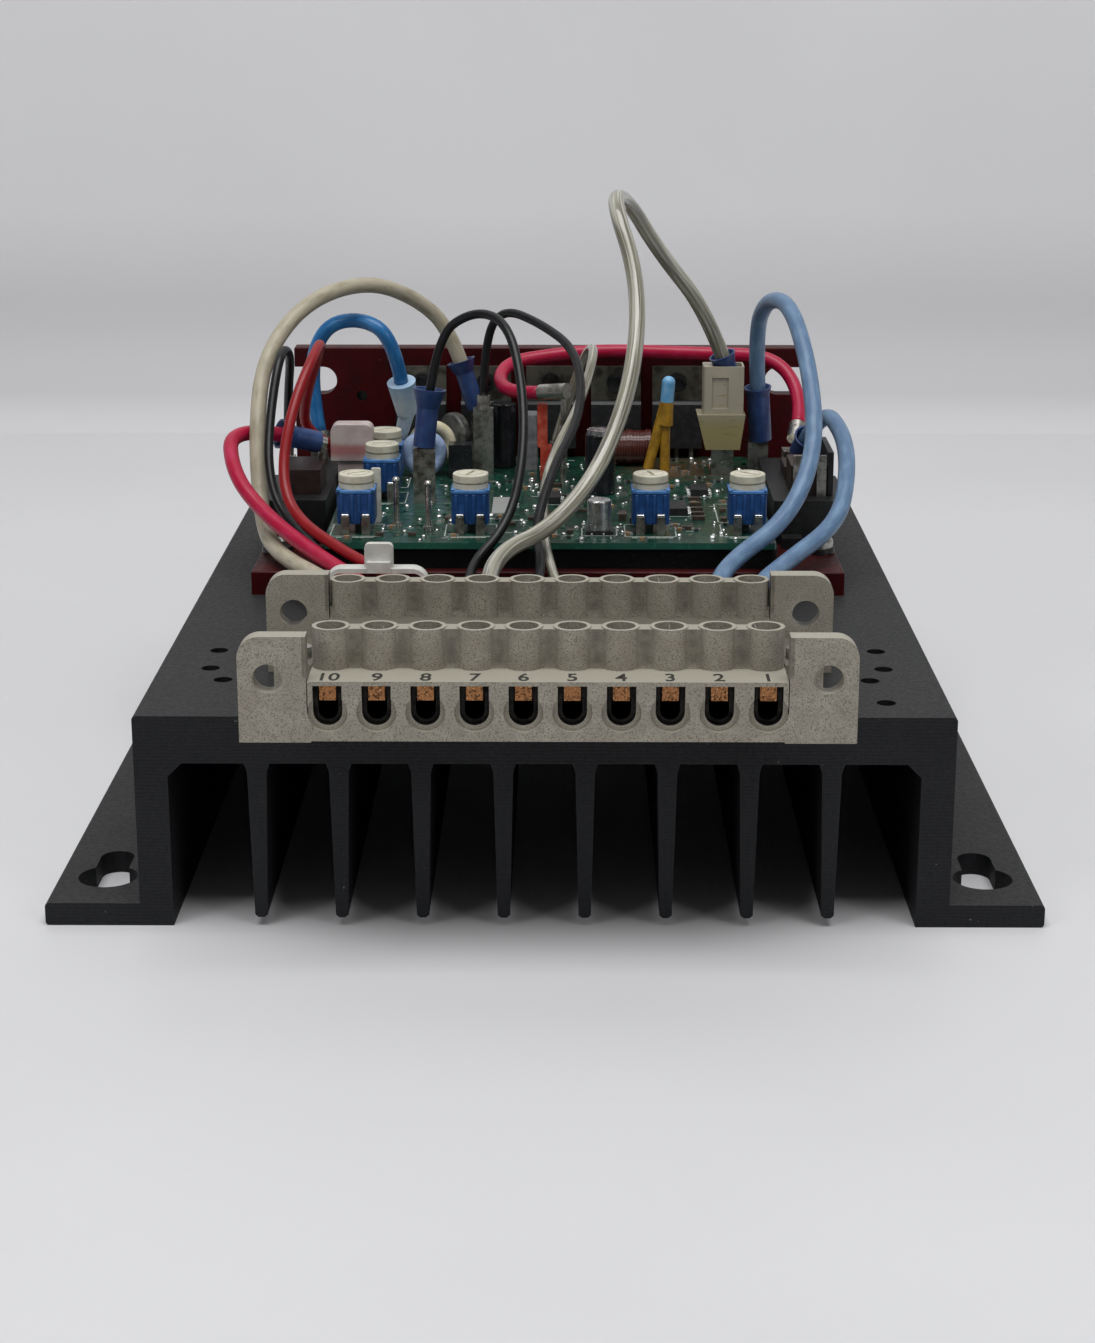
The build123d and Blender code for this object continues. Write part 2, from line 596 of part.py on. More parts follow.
black_2 = ends(3, 4.6) + [
    (-17.5, 74, 5.4), (-20, 90.5, 9.5), (-9.5, 102, 18.5), (-6, 112.5, 33.5), (-6.5, 126, 49.5),
    (-10.5, 138, 63.5), (-19.5, 149, 65), (-30, 152, 57.5), (-32.4, 151, 36)]
black_2 = lead(black_2, thin_d, "wire_black_2")
black_3 = ends(4, 6.5) + [
    (-1, 85.5, 11.8), (-3.5, 99.5, 16.5), (1, 117.5, 29), (9, 140.5, 40), (7.5, 160.5, 52.5),
    (-2.5, 176.5, 57.5), (-13, 188, 60), (-18.2, 192.5, 51), (-18.6, 191.5, 35)]
black_3 = lead(black_3, thin_d, "wire_black_3")
clear_fat = ends(3, 9.0) + [
    (-13, 81.5, 15.5), (1.5, 93.5, 19.5), (14, 110.5, 32), (22, 124, 53.5), (23, 138, 74.5),
    (16, 151, 94.5), (21, 171.5, 91), (29.5, 180, 76.5), (43.5, 187.5, 59), (49.4, 190, 42.8)]
clear_fat = lead(clear_fat, fat_d, "wire_clear_fat")
clear_thin = ends(5, 6.5) + [
    (0.5, 89, 10.6), (-1.5, 110, 17.5), (-0.5, 131.5, 27), (9, 156.5, 40), (13, 176.5, 53),
    (8, 191, 44), (1.5, 194, 21)]
clear_thin = lead(clear_thin, clear_thin_d, "wire_clear_thin")
pale_1 = ends(8, 6.0) + [
    (40, 76, 8), (44.5, 92.5, 11), (60, 105.5, 19), (68, 121.5, 33), (68, 140, 49.5),
    (64, 158, 65.5), (59, 175.5, 64.5), (56.9, 189.5, 53.5), (58.5, 192.4, 34)]
pale_1 = lead(pale_1, pale_d, "wire_paleblue_1")
pale_2 = ends(9, 6.0) + [
    (50.5, 80.5, 8), (59.5, 98.5, 10), (73.5, 113, 16.5), (77, 127, 27), (77, 141, 34),
    (73, 156, 38), (69, 169, 24.9)]
pale_2 = lead(pale_2, pale_d, "wire_paleblue_2")
pink_rear = [
    (69.5, 190, 27), (71.5, 198.5, 33.5), (64.5, 209.6, 43.5), (44, 211.6, 43.6), (18, 212.2, 44.5),
    (3, 212.2, 43.5), (-14, 207.5, 41.5), (-14, 190, 35.5), (-2.5, 182, 37.5)]
pink_rear = lead(pink_rear, pink_rear_d, "wire_pink_rear")


# 15 crimped sleeves on the leads' ends
def sleeve(tip, before, d_wire, body_r, rim_r, deep, rim_up):
    """A funnel sleeve: the lead's end face rests in it at the tip, the rim opens to the lead."""
    a, b = (tip, before)
    way = (b - a).normalized()
    side = way.cross(Vector(0.31, 0.95, 0.05)).normalized()
    bore = d_wire / 2 + 0.05
    with BuildSketch(Plane(origin=a, x_dir=side, z_dir=side.cross(way))) as section:
        with BuildLine():
            Polyline((0, -deep), (body_r, -deep), (body_r, rim_up * 0.35), (rim_r, rim_up),
                     (rim_r - 0.5, rim_up), (bore + 0.1, rim_up * 0.4), (bore, 0), (0, 0), close=True)
        make_face()
    revolve(section.sketch, axis=Axis(a, way))


with BuildPart() as crimp_sleeves:
    sleeve(black_2[-1], black_2[-2], thin_d, 2.9, 4.4, 7.6, 7.8)
    sleeve(beige[-1], beige[-2], fat_d, 2.6, 4.1, 8.4, 5.6)
    sleeve(pale_1[-1], pale_1[-2], pale_d, 3.2, 3.85, 12.0, 3.4)
    sleeve(pink_left[-1], pink_left[-2], pink_d, 2.9, 4.0, 5.0, 6.5)
    sleeve(pale_2[-1], pale_2[-2], pale_d, 2.9, 3.7, 2.2, 5.0)
    sleeve(clear_fat[-1], clear_fat[-2], fat_d, 2.9, 3.8, 1.8, 4.4)
save(crimp_sleeves.part, "crimp_sleeves")
with BuildPart() as receptacles:
    box(-36.1, -30.3, 149.2, 152.0, board_z, 28.0)
    box(-22.4, -19.8, 198.9, 200.5, board_z, 29.0)
    box(56.0, 61.6, 192.2, 195.0, board_z, 21.5)
    box(45.4, 51.6, 188.6, 191.4, board_z, 20.6)
    box(-21.5, -15.9, 189.9, 192.7, board_z, 31.6)
    butt(black_3[-1], black_3[-2], 1.9, 1.9, 4.0)
    butt(clear_thin[-1], clear_thin[-2], 1.6, 1.6, 7.8)
    butt(bright[0], bright[1], 2.6, 2.6, 4.2)
    butt(black_1[-1], black_1[-2], 1.7, 1.7, 5.3)
    crimp_end = butt(pink_rear[-1], pink_rear[-2], 2.2, 2.2, 9.0)
    butt(pink_rear[0], pink_rear[1], 2.3, 2.3, 5.4)
    post_top = crimp_end.Z - sink_h
    rod(crimp_end.X - 1.0, crimp_end.Y - front_y + 0.8, board_z, post_top - 1.0, 1.6)
    lug = Vector(*at(-66, 153.5, 30)) + (pink_left[-1] - pink_left[-2]).normalized() * 5.0
    butt(lug, pink_left[-2], 1.8, 1.8, 2.0)
    rod(lug.X + 0.9, lug.Y - front_y + 0.4, 24.2, 27.6, 2.0)
save(receptacles.part, "receptacles")
with BuildPart() as nylon_housing:
    box(42.7, 54.0, 185.8, 194.2, 30.4, 44.0)
    fillet(nylon_housing.edges().filter_by(Axis.Z), 0.8)
    with BuildSketch(Plane.XY.offset(sink_h + 20.6)):
        with Locations((48.4, 190 + front_y)):
            Rectangle(9.6, 8.0)
    with BuildSketch(Plane.XY.offset(sink_h + 30.6)):
        with Locations((47.8, 190 + front_y)):
            Rectangle(13.4, 9.8)
    loft()
    with Locations(at(47.4, 185.8, 36.6)):
        Box(4.6, 1.0, 8.6, mode=Mode.SUBTRACT)
    with Locations(at(49.4, 190.0, 39.4)):
        Box(8.2, 6.8, 6.0, align=(Align.CENTER, Align.CENTER, Align.MIN), mode=Mode.SUBTRACT)
save(nylon_housing.part, "nylon_housing")
with BuildPart() as clear_housing:
    box(-59.4, -48.0, 165.2, 171.8, 21.6, 31.4)
    fillet(clear_housing.edges().filter_by(Axis.Y).filter_by_position(
        Axis.Z, sink_h + 31.3, sink_h + 31.5), 2.0)
    box(-57.6, -49.4, 165.8, 171.2, board_z, 22.0)
    bar(red_left[-1], red_left[-2], red_d / 2 + 0.05, red_d / 2 + 0.05, Mode.SUBTRACT)
save(clear_housing.part, "clear_housing")
with BuildPart() as clear_boot:
    boot_end = butt(bright[-1], bright[-2], 4.0, 2.9, 10.0)
    foot = Vector(*at(-43.6, 190.0, board_z + 5.0))
    bar(foot, boot_end, 1.5, 2.2)
    rod(-43.6, 190.0, board_z, board_z + 5.4, 3.0)
save(clear_boot.part, "clear_boot")

# 16 cable tie round the left bundle
with BuildPart() as cable_tie:
    with BuildSketch(Plane.XZ.offset(-(70.2 + front_y))):
        with Locations((-40.3, sink_h + 8.3)):
            RectangleRounded(24.6, 13.0, 4.0)
            RectangleRounded(22.4, 10.8, 2.6, mode=Mode.SUBTRACT)
    extrude(amount=-4.6)
    box(-43.2, -36.4, 71.4, 73.6, 14.2, 20.6)
    fillet(cable_tie.edges().filter_by(Axis.Y).filter_by_position(
        Axis.Z, sink_h + 20.5, sink_h + 20.7), 1.2)
    box(-42.6, -37.0, 69.8, 75.2, 13.8, 16.4)
save(cable_tie.part, "cable_tie")
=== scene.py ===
"""DC motor speed controller: finishes, leads, board detail, markings and stage over the CAD frame.

Metres, +Z up, the strip faces -Y. at() takes millimetres: across from the middle, depths from the
heatsink's front face and heights from its top face.
"""

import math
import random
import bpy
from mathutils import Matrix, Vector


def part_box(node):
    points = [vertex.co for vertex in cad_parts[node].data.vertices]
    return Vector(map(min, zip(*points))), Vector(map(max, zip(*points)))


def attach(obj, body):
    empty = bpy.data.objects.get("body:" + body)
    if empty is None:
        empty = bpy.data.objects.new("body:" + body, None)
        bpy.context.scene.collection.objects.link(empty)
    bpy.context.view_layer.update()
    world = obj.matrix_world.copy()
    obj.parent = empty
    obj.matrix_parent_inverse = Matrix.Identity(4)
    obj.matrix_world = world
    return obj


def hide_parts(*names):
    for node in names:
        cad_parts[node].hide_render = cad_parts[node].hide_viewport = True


bl_info = {
    "name": "Motor speed controller",
    "version": (1, 0, 0),
    "blender": (4, 5, 0),
    "location": "3D View > Sidebar > Controller",
    "description": "Finishes and fine detail for a motor speed controller on its heatsink",
    "category": "Object",
}

import bmesh
import bpy
from bpy.props import FloatProperty, FloatVectorProperty, IntProperty, PointerProperty
from bpy.types import Operator, Panel, PropertyGroup
from mathutils import Matrix, Vector
from mathutils.bvhtree import BVHTree

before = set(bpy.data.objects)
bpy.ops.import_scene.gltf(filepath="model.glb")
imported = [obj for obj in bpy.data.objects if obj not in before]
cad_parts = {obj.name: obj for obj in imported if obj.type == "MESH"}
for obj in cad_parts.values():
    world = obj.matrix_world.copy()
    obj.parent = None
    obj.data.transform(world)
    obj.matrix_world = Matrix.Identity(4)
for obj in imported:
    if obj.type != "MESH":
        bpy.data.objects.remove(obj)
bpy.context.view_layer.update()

MM = 0.001
CHASSIS = "chassis"
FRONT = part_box("heatsink")[0][1]
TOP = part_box("heatsink")[1][2]
BOARD_LOW, BOARD_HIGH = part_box("circuit_board")
BOARD_Z = (BOARD_HIGH[2] - TOP) / MM
STRIP_FRONT = (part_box("terminal_plug")[0][1] - FRONT) / MM
STRIP_MIDDLE = (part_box("terminal_plug")[0][0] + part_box("terminal_plug")[1][0]) / 2 / MM

# Sizes and places in the controller's own millimetres, with counts and seeds; DIGIT_EM and DIGIT_WIDTH
# are shares of a digit's height and width, and DIAL_BANDS holds a height from the dial's top, then
# what ring_band asks for after its centre
POLES = 10
PITCH = 10.0
LEDGE_Z = 13.0
DIGIT_EM, DIGIT_WIDTH = 1.38, 0.66
DIGIT_IN, DIGIT_DEPTH, DIGIT_STROKE = 1.0, 0.02, 0.12
CLAMP_Y = 44.0
LEAD_STRAIGHT = 16.0
TOWER_ROWS = ((-6.0, 21.7), (36.6, 21.0))
HAIR_SEED, HAIR_RADIUS = 11, 0.09
CAGE_IN, CAGE_Z = 2.4, 6.4
CAGE_RADIUS, CAGE_HOLE, CAGE_THICKNESS, CAGE_RISE = 2.9, 2.05, 1.0, 5.2
# Place and size of a dark plug that paints the shade in the rear plate's hole
HOLE_SHADE_PLUG_X, HOLE_SHADE_PLUG_Z, HOLE_SHADE_PLUG_RADIUS, HOLE_SHADE_PLUG_LENGTH = 19.4, 30.3, 1.55, 3.6
LOOK_FROM, LOOK_REACH = 9.0, 8.9
INK_HEIGHT = 0.07
COPPER_HEIGHT = 0.05
COPPER_WIDTHS = (0.35, 0.35, 0.5, 1.1)
VIA_COUNT, VIA_SEED = 120, 3
DASH_COUNT, DASH_LENGTH, DASH_WIDTH = 60, 1.6, 0.3
BOX_LINE, TRIMMER_BOX_LINE, TRIMMER_BOX_GAP = 0.28, 0.32, 1.7
PRINTED_BOXES = ((30.4, 37.2, 135.0, 147.0), (8.6, 17.4, 112.6, 121.4), (-2.4, 3.8, 149.0, 159.0),
                 (37.6, 43.8, 159.0, 169.0), (-12, -2, 116, 130), (44, 54, 128, 150))
FLUX_STAIN = (38, 196)
DEVICES_X = (-37.4, -18.6, 0.2, 19.0, 36.7)
DEVICE_LEGS_X, DEVICE_LEGS_Y = (-4.2, 0.0, 4.2), 210.6
CHIP_PITCH, CAN_PITCH = 1.27, 3.0
CHIP_LEG_REACH, CHIP_LEG_WIDTH, CHIP_LEG_HEIGHT = 1.1, 0.5, 0.55
CHIPS = ((31.2, 36.4, 136.0, 146.0), (-1.6, 3.0, 150.0, 158.0), (38.5, 43.0, 160.0, 168.0))
CAN_BASE = (9.6, 16.5, 113.6, 120.5)
LABEL = (-15.0, -9.0, 138.0, 158.0)
LABEL_LOW, LABEL_HIGH = 0.03, 0.13
TRIMMER_WIDTH = 9.5
RIM_WIDTH, RIM_HEIGHT, RIM_OUT = 0.9, 0.75, 0.12
RIBS_X, RIB_WIDTH, RIB_OUT = (-3.6, -0.9, 0.9, 3.6), 0.8, 0.35
LEG_TOPS_X, LEG_TOP_WIDTH = (-2.6, 2.6), 2.0
# The dark bands of painted shade round each dial
DIAL_BANDS = ((-2.3, 4.5, 0.0, 0.5, 0.04), (0.0, 3.3, -0.02, 0.06, 0.03))
TRIMMERS = ((-48.7, 119.0), (-19.7, 119.0), (26.0, 119.0), (50.6, 119.0), (-44.9, 158.0), (-45.4, 178.0))
STANDING = ("trimmer_bodies", "trimmer_legs", "test_posts", "white_strip", "soic_chips", "chip_parts",
            "capacitor_cans", "black_capacitors", "disc_varistor", "choke", "grey_capacitor",
            "red_capacitor", "ring_coil", "ring_core", "sleeved_resistor", "receptacles",
            "nylon_housing", "clear_housing", "clear_boot", "device_tabs", "device_bodies")

# The camera's place in metres, its turns in degrees, its lens in millimetres; the backdrop in metres
CAMERA_PLACE = (0.004354, -0.625568, 0.205797)
CAMERA_PITCH, CAMERA_TURN = 73.778, 0.411
CAMERA_LENS, CAMERA_SENSOR = 67.62, 36.0
WALL_TURN = 0.05
SHEET_REACH = 3.0
WALL_HEIGHT = 2.5


def at(x, y, z):
    """A place in the frame, from the controller's own millimetres."""
    return Vector((x * MM, FRONT + y * MM, TOP + z * MM))


def pole_x(pole):
    """How far across a pole lies, counted from the left."""
    return STRIP_MIDDLE + PITCH * (pole - (POLES - 1) / 2)


def linear(shade):
    """A colour as linear red, green and blue: sRGB hex is turned, a setting's colour is linear already."""
    if not isinstance(shade, str):
        return tuple(shade[:3])
    parts = []
    for start in (0, 2, 4):
        value = int(shade[start:start + 2], 16) / 255
        parts.append(value / 12.92 if value <= 0.04045 else ((value + 0.055) / 1.055) ** 2.4)
    return tuple(parts)


def colour(default, name, description):
    """A colour for the sidebar."""
    return FloatVectorProperty(name=name, description=description, subtype="COLOR", size=3,
                               min=0.0, max=1.0, default=linear(default))


# Sizes and colours that a user would change

class MetalSettings(PropertyGroup):
    """Heatsink, red frame and fasteners."""

    charcoal: colour("111215", "Heatsink", "Dark anodised aluminium of the heatsink")
    # Colour laid on upward faces: partly a dusty film, partly painted sheen
    dust_and_sheen: colour("3b3b3a", "Dust", "Pale dust that lies on upward faces")
    red: colour("3c080b", "Red frame", "Red anodised plates under and behind the board")


class StripSettings(PropertyGroup):
    """Terminal strip."""

    moulding: colour("958f82", "Moulding", "Grey beige polyamide of both strip halves")
    # Painted shade: this colour, laid in the gaps between the towers, stands for the shade there
    shade_between_towers: colour("57524a", "Grime", "Brown grey dirt between the towers")
    copper: colour("a8734a", "Clamp plate", "Copper plates that press on the wires")
    digit_height: FloatProperty(name="Digit height", description="Depth of a pole number on the ledge",
                                default=5.4 * MM, unit="LENGTH")
    hair_count: IntProperty(name="Hairs", description="Short pale hairs caught in the towers", default=9)


class BoardSettings(PropertyGroup):
    """Circuit board."""

    mask: colour("173f33", "Solder mask", "Green lacquer over the laminate")
    track: colour("205644", "Tracks", "Lacquered copper, lighter than the bare laminate")
    solder: colour("e4e6e4", "Solder", "Bright solder")
    track_count: IntProperty(name="Tracks", description="Copper tracks drawn on the board", default=150)
    joint_count: IntProperty(name="Solder joints", description="Round joints on the board", default=190)
    chip_count: IntProperty(name="Chip parts", description="Tiny soldered blocks on the board", default=70)
    seed: IntProperty(name="Seed", description="Layout of the board's fine detail", default=7)


class LeadSettings(PropertyGroup):
    """Leads and the sleeves at their ends."""

    tube_sides: IntProperty(name="Sides", description="Flats round each lead", default=20)
    step: FloatProperty(name="Step", description="Length of one facet along a lead", default=1.6 * MM,
                        unit="LENGTH")


class StageSettings(PropertyGroup):
    """Floor, wall, lamps and camera."""

    floor: colour("d3d3d5", "Floor", "Pale floor sheet")
    wall: colour("dadadb", "Wall", "Pale wall behind")
    wall_distance: FloatProperty(name="Wall", description="Where the floor sheet turns up into the wall",
                                 default=0.5, unit="LENGTH")


# Materials

def add(tree, kind, links=None, **settings):
    """One node with its settings, and a value, colour, node or socket on named or numbered inputs."""
    made = tree.nodes.new(kind)
    for key, value in settings.items():
        setattr(made, key, value)
    for key, value in (links or {}).items():
        socket = made.inputs[key]
        if isinstance(value, bpy.types.Node):
            value = value.outputs[0]
        if isinstance(value, bpy.types.NodeSocket):
            tree.links.new(value, socket)
        elif socket.type == "RGBA":
            socket.default_value = (*linear(value), 1.0)
        else:
            socket.default_value = value
    return made


def lines_scale(period_mm):
    """A wave texture's scale for lines at a real spacing: its own lines lie a tenth of pi apart."""
    return math.pi / 10 / (period_mm * MM)


class Finish:
    """A material in the making, with the colour laid on it so far."""

    def __init__(self, name, base, roughness, **values):
        self.made = bpy.data.materials.new(name)
        self.made.use_nodes = True
        self.tree = self.made.node_tree
        self.shader = self.tree.nodes["Principled BSDF"]
        self.tone = linear(base)
        for key, value in {"Base_Color": (*self.tone, 1.0), "Roughness": roughness, **values}.items():
            self.shader.inputs[key.replace("_", " ")].default_value = value
        self.place = add(self.tree, "ShaderNodeTexCoord").outputs["Object"]

    def facing(self, axis):
        """How far a face looks along one of the frame's axes, from -1 to 1."""
        normal = add(self.tree, "ShaderNodeNewGeometry").outputs["Normal"]
        return add(self.tree, "ShaderNodeSeparateXYZ", {0: normal}).outputs[axis]

    def cloud(self, size_mm, detail, stretch, place):
        """Noise with grains of a real size."""
        mapped = add(self.tree, "ShaderNodeMapping", {"Vector": place or self.place, "Scale": stretch})
        return add(self.tree, "ShaderNodeTexNoise",
                   {"Vector": mapped, "Scale": 1 / (size_mm * MM), "Detail": detail})

    def turned(self, under, over, value, start=0.0, stop=1.0, most=1.0):
        """A colour that turns from under to over while a value runs from start to stop."""
        share = add(self.tree, "ShaderNodeMapRange",
                    {"Value": value, "From Min": start, "From Max": stop, "To Max": most})
        return add(self.tree, "ShaderNodeMix", {0: share, 6: under, 7: over}, data_type="RGBA").outputs[2]

    def turn(self, over, *run, **limits):
        """Turns the colour so far to another."""
        self.tone = self.turned(self.tone, over, *run, **limits)

    def blotched(self, under, over, size_mm, low, high, detail=3.0, stretch=(1, 1, 1), place=None):
        """A colour that turns from under to over where soft blotches of a real size lie."""
        return self.turned(under, over, self.cloud(size_mm, detail, stretch, place), low, high)

    def blotch(self, over, *size, **how):
        """Lays soft blotches on the colour so far."""
        self.tone = self.blotched(self.tone, over, *size, **how)

    def lay(self, over, *shares):
        """Lays another colour on where all the shares hold."""
        share, *others = shares
        for other in others:
            share = add(self.tree, "ShaderNodeMath", {0: share, 1: other}, operation="MULTIPLY")
        self.tone = add(self.tree, "ShaderNodeMix", {0: share, 6: self.tone, 7: over},
                        data_type="RGBA").outputs[2]

    def dust_and_sheen(self, over, strength):
        """Faces that look up made paler: dusty, with painted sheen."""
        self.turn(over, self.facing("Z"), 0.35, 1.0, strength)

    def relief(self, height, depth_mm):
        """Relief of a real depth."""
        bump = add(self.tree, "ShaderNodeBump", {"Height": height, "Distance": depth_mm * MM})
        self.tree.links.new(bump.outputs[0], self.shader.inputs["Normal"])

    def done(self):
        """The material, with its colour joined to its shader."""
        self.tree.links.new(self.tone, self.shader.inputs["Base Color"])
        return self.made

    def embossed(self, size_mm, depth_mm, rough=None, detail=3.0, stretch=(1, 1, 1)):
        """The material with fine relief of a real grain size, which its roughness may follow."""
        cloud = self.cloud(size_mm, detail, stretch, None)
        self.relief(cloud, depth_mm)
        if rough:
            ranged = add(self.tree, "ShaderNodeMapRange",
                         {"Value": cloud, "From Min": 0.3, "From Max": 0.7, "To Min": rough[0],
                          "To Max": rough[1]})
            self.tree.links.new(ranged.outputs[0], self.shader.inputs["Roughness"])
        return self.done()


def anodised_charcoal(metal):
    """Dark anodised aluminium, extruded and sawn: satin, grainy, specked; pale dusty tops, painted sheen."""
    finish = Finish("anodised_charcoal", metal.charcoal, 0.6, Specular_IOR_Level=0.3)
    finish.blotch("17181b", 14, 0.42, 0.62)
    finish.blotch("0b0c0e", 0.8, 0.52, 0.62, detail=2.0)
    saw = add(finish.tree, "ShaderNodeTexWave",
              {"Vector": finish.place, "Scale": lines_scale(0.8), "Distortion": 3.0, "Detail": 3.0},
              bands_direction="Z")
    sawn = add(finish.tree, "ShaderNodeMapRange",
               {"Value": finish.facing("Y"), "From Min": -0.9, "From Max": -1.0, "To Max": 0.45})
    finish.lay("232428", sawn, saw.outputs["Fac"])
    # Upward faces paler: dusty, and painted sheen
    finish.dust_and_sheen(metal.dust_and_sheen, 0.34)
    finish.blotch("6d6c69", 1.1, 0.74, 0.765, detail=5.0)
    return finish.embossed(0.9, 0.10, rough=(0.55, 0.75))


def anodised_red(metal):
    """Red anodised aluminium plate: satin, faded; paler dusty tops with painted sheen."""
    finish = Finish("anodised_red", metal.red, 0.5, Specular_IOR_Level=0.12)
    finish.blotch("2e0a0b", 7, 0.45, 0.65)
    # Upward faces a paler red: dusty, and painted sheen
    finish.dust_and_sheen("48201f", 0.25)
    finish.blotch("7a4f4c", 0.7, 0.73, 0.77, detail=4.0)
    return finish.embossed(0.7, 0.05, rough=(0.38, 0.55))


def plated(name, base, dark, roughness, grain_mm=1.2):
    """Plated or tinned metal: bright, with dull tarnished patches."""
    finish = Finish(name, base, roughness, Metallic=0.9)
    finish.blotch(dark, grain_mm * 2.5, 0.46, 0.66)
    return finish.embossed(grain_mm, 0.04, rough=(roughness - 0.08, roughness + 0.14))


def moulded_polyamide(strip):
    """Glass-filled polyamide: matte, dark fibre specks; painted light on tops, painted shade in hollows."""
    finish = Finish("moulded_polyamide", strip.moulding, 0.62)
    tree = finish.tree
    finish.blotch("a39e91", 5, 0.4, 0.7)
    finish.blotch("6f695c", 0.28, 0.5, 0.64, detail=4.0)
    across, back, height = add(tree, "ShaderNodeSeparateXYZ", {0: finish.place}).outputs
    turns = add(tree, "ShaderNodeMath", {0: across, 1: -pole_x(0) * MM}, operation="ADD")
    angle = add(tree, "ShaderNodeMath", {0: turns, 1: 2 * math.pi / (PITCH * MM)}, operation="MULTIPLY")
    wave = add(tree, "ShaderNodeMath", {0: angle}, operation="COSINE")
    aside = add(tree, "ShaderNodeMath", {0: across, 1: STRIP_MIDDLE * MM}, operation="SUBTRACT")
    aside = add(tree, "ShaderNodeMath", {0: aside}, operation="ABSOLUTE")
    between, above, behind, below, rim = (
        add(tree, "ShaderNodeMapRange", {"Value": value, "From Min": start, "From Max": stop, "To Max": most})
        for value, start, stop, most in (
            (wave, -0.2, -1.0, 0.75),
            (height, TOP + (LEDGE_Z + 0.3) * MM, TOP + (LEDGE_Z + 1.5) * MM, 1.0),
            (back, FRONT + (STRIP_FRONT + 15.0) * MM, FRONT + (STRIP_FRONT + 16.0) * MM, 1.0),
            (height, TOP + 18.5 * MM, TOP + 17.0 * MM, 1.0),
            (finish.facing("Z"), 0.6, 0.95, 0.8)))
    inside, near_pole, deep, low = (
        add(tree, "ShaderNodeMath", {0: value, 1: limit}, operation=test)
        for value, limit, test in (
            (aside, POLES * PITCH / 2 * MM, "LESS_THAN"),
            (wave, -0.33, "GREATER_THAN"),
            (back, FRONT + (STRIP_FRONT + 1.3) * MM, "GREATER_THAN"),
            (height, TOP + (LEDGE_Z - 0.85) * MM, "LESS_THAN")))
    # Painted shade: a darker brown grey in the gaps between the towers, above the ledge
    finish.lay(finish.blotched("746e60", strip.shade_between_towers, 1.6, 0.35, 0.6), between, above, inside)
    # Painted light: faces that look up are laid lighter, as light from above makes them
    finish.lay("a19d8f", rim)
    finish.blotch("5f5340", 2.6, 0.72, 0.8, detail=5.0)
    # Painted shade: upward faces on the shelf behind the front row, below the towers' tops, are laid darker
    finish.lay("4e493f", behind, below, rim)
    # Painted shade: near black deep inside the wire entries
    finish.lay("12110f", near_pole, deep, low, inside)
    return finish.embossed(0.45, 0.06, detail=4.0)


def plain_plastic(name, base, shade, roughness, grain_mm=2.0, depth_mm=0.03, **values):
    """A moulded or dipped part: a little uneven in colour and surface."""
    finish = Finish(name, base, roughness, **values)
    finish.blotch(shade, grain_mm * 1.6, 0.42, 0.68)
    return finish.embossed(grain_mm, depth_mm)


def striped(name, base, shade, roughness, period_mm, axis, **values):
    """A surface with fine parallel lines, such as wire turns, at their real spacing."""
    finish = Finish(name, base, roughness, **values)
    wave = add(finish.tree, "ShaderNodeTexWave", {"Vector": finish.place, "Scale": lines_scale(period_mm)},
               bands_direction=axis).outputs["Fac"]
    finish.turn(shade, wave, most=0.8)
    finish.relief(wave, 0.12)
    return finish.done()


def lacquered_laminate(board):
    """Glass-epoxy board under green lacquer: glossy, cloudy, paler at its edge, with a brown flux stain."""
    finish = Finish("lacquered_laminate", board.mask, 0.28, Coat_Weight=0.4)
    finish.blotch("103127", 6, 0.4, 0.6)
    finish.blotch("2a624e", 1.3, 0.60, 0.68, detail=2.0)
    away = add(finish.tree, "ShaderNodeVectorMath", {0: finish.place, 1: at(*FLUX_STAIN, BOARD_Z)},
               operation="DISTANCE")
    finish.turn("6a5038", away.outputs["Value"], 20 * MM, 9 * MM, 0.7)
    finish.turn("2f6e5c", finish.facing("Z"), 0.8, 0.2, 0.5)
    return finish.embossed(1.5, 0.03)


def vinyl(name, base, shade, roughness, coat):
    """Vinyl insulation: even colour, a long soft highlight and faint scuffs along the lead."""
    finish = Finish(name, base, roughness, Coat_Weight=coat, Coat_Roughness=0.18, Specular_IOR_Level=0.3)
    along = add(finish.tree, "ShaderNodeUVMap", uv_map="along").outputs[0]
    finish.blotch(shade, 140, 0.45, 0.68, stretch=(1, 0.3, 1), place=along)
    return finish.embossed(1.4, 0.03)


def clear_over_strands(name, strand, gap, clear):
    """Clear vinyl over a laid metal strand: lengthwise streaks under a glossy skin."""
    finish = Finish(name, strand, 0.3, Coat_Weight=0.8, Coat_Roughness=0.08)
    finish.place = add(finish.tree, "ShaderNodeUVMap", uv_map="along").outputs[0]
    finish.blotch(gap, 120, 0.42, 0.58, stretch=(1, 0.05, 1))
    finish.blotch(clear, 60, 0.5, 0.6, stretch=(1, 0.03, 1))
    return finish.embossed(80, 0.05, stretch=(1, 0.04, 1))


def banded(name, base, shade, band, low_mm, high_mm):
    """A milky part with something of another colour showing through between two heights."""
    finish = Finish(name, base, 0.35)
    finish.blotch(shade, 4, 0.4, 0.65)
    middle = TOP + (low_mm + high_mm) / 2 * MM
    half = (high_mm - low_mm) / 2 * MM
    height = add(finish.tree, "ShaderNodeSeparateXYZ", {0: finish.place}).outputs["Z"]
    away = add(finish.tree, "ShaderNodeMath", {0: height, 1: middle}, operation="SUBTRACT")
    away = add(finish.tree, "ShaderNodeMath", {0: away}, operation="ABSOLUTE")
    finish.turn(band, away, half * 1.5, half * 0.5, 0.7)
    return finish.embossed(2.0, 0.05)


# Shared making of meshes

def placed(name, data):
    """An object in the scene that shows a mesh, lamp, curve or camera."""
    made = bpy.data.objects.new(name, data)
    bpy.context.scene.collection.objects.link(made)
    return made


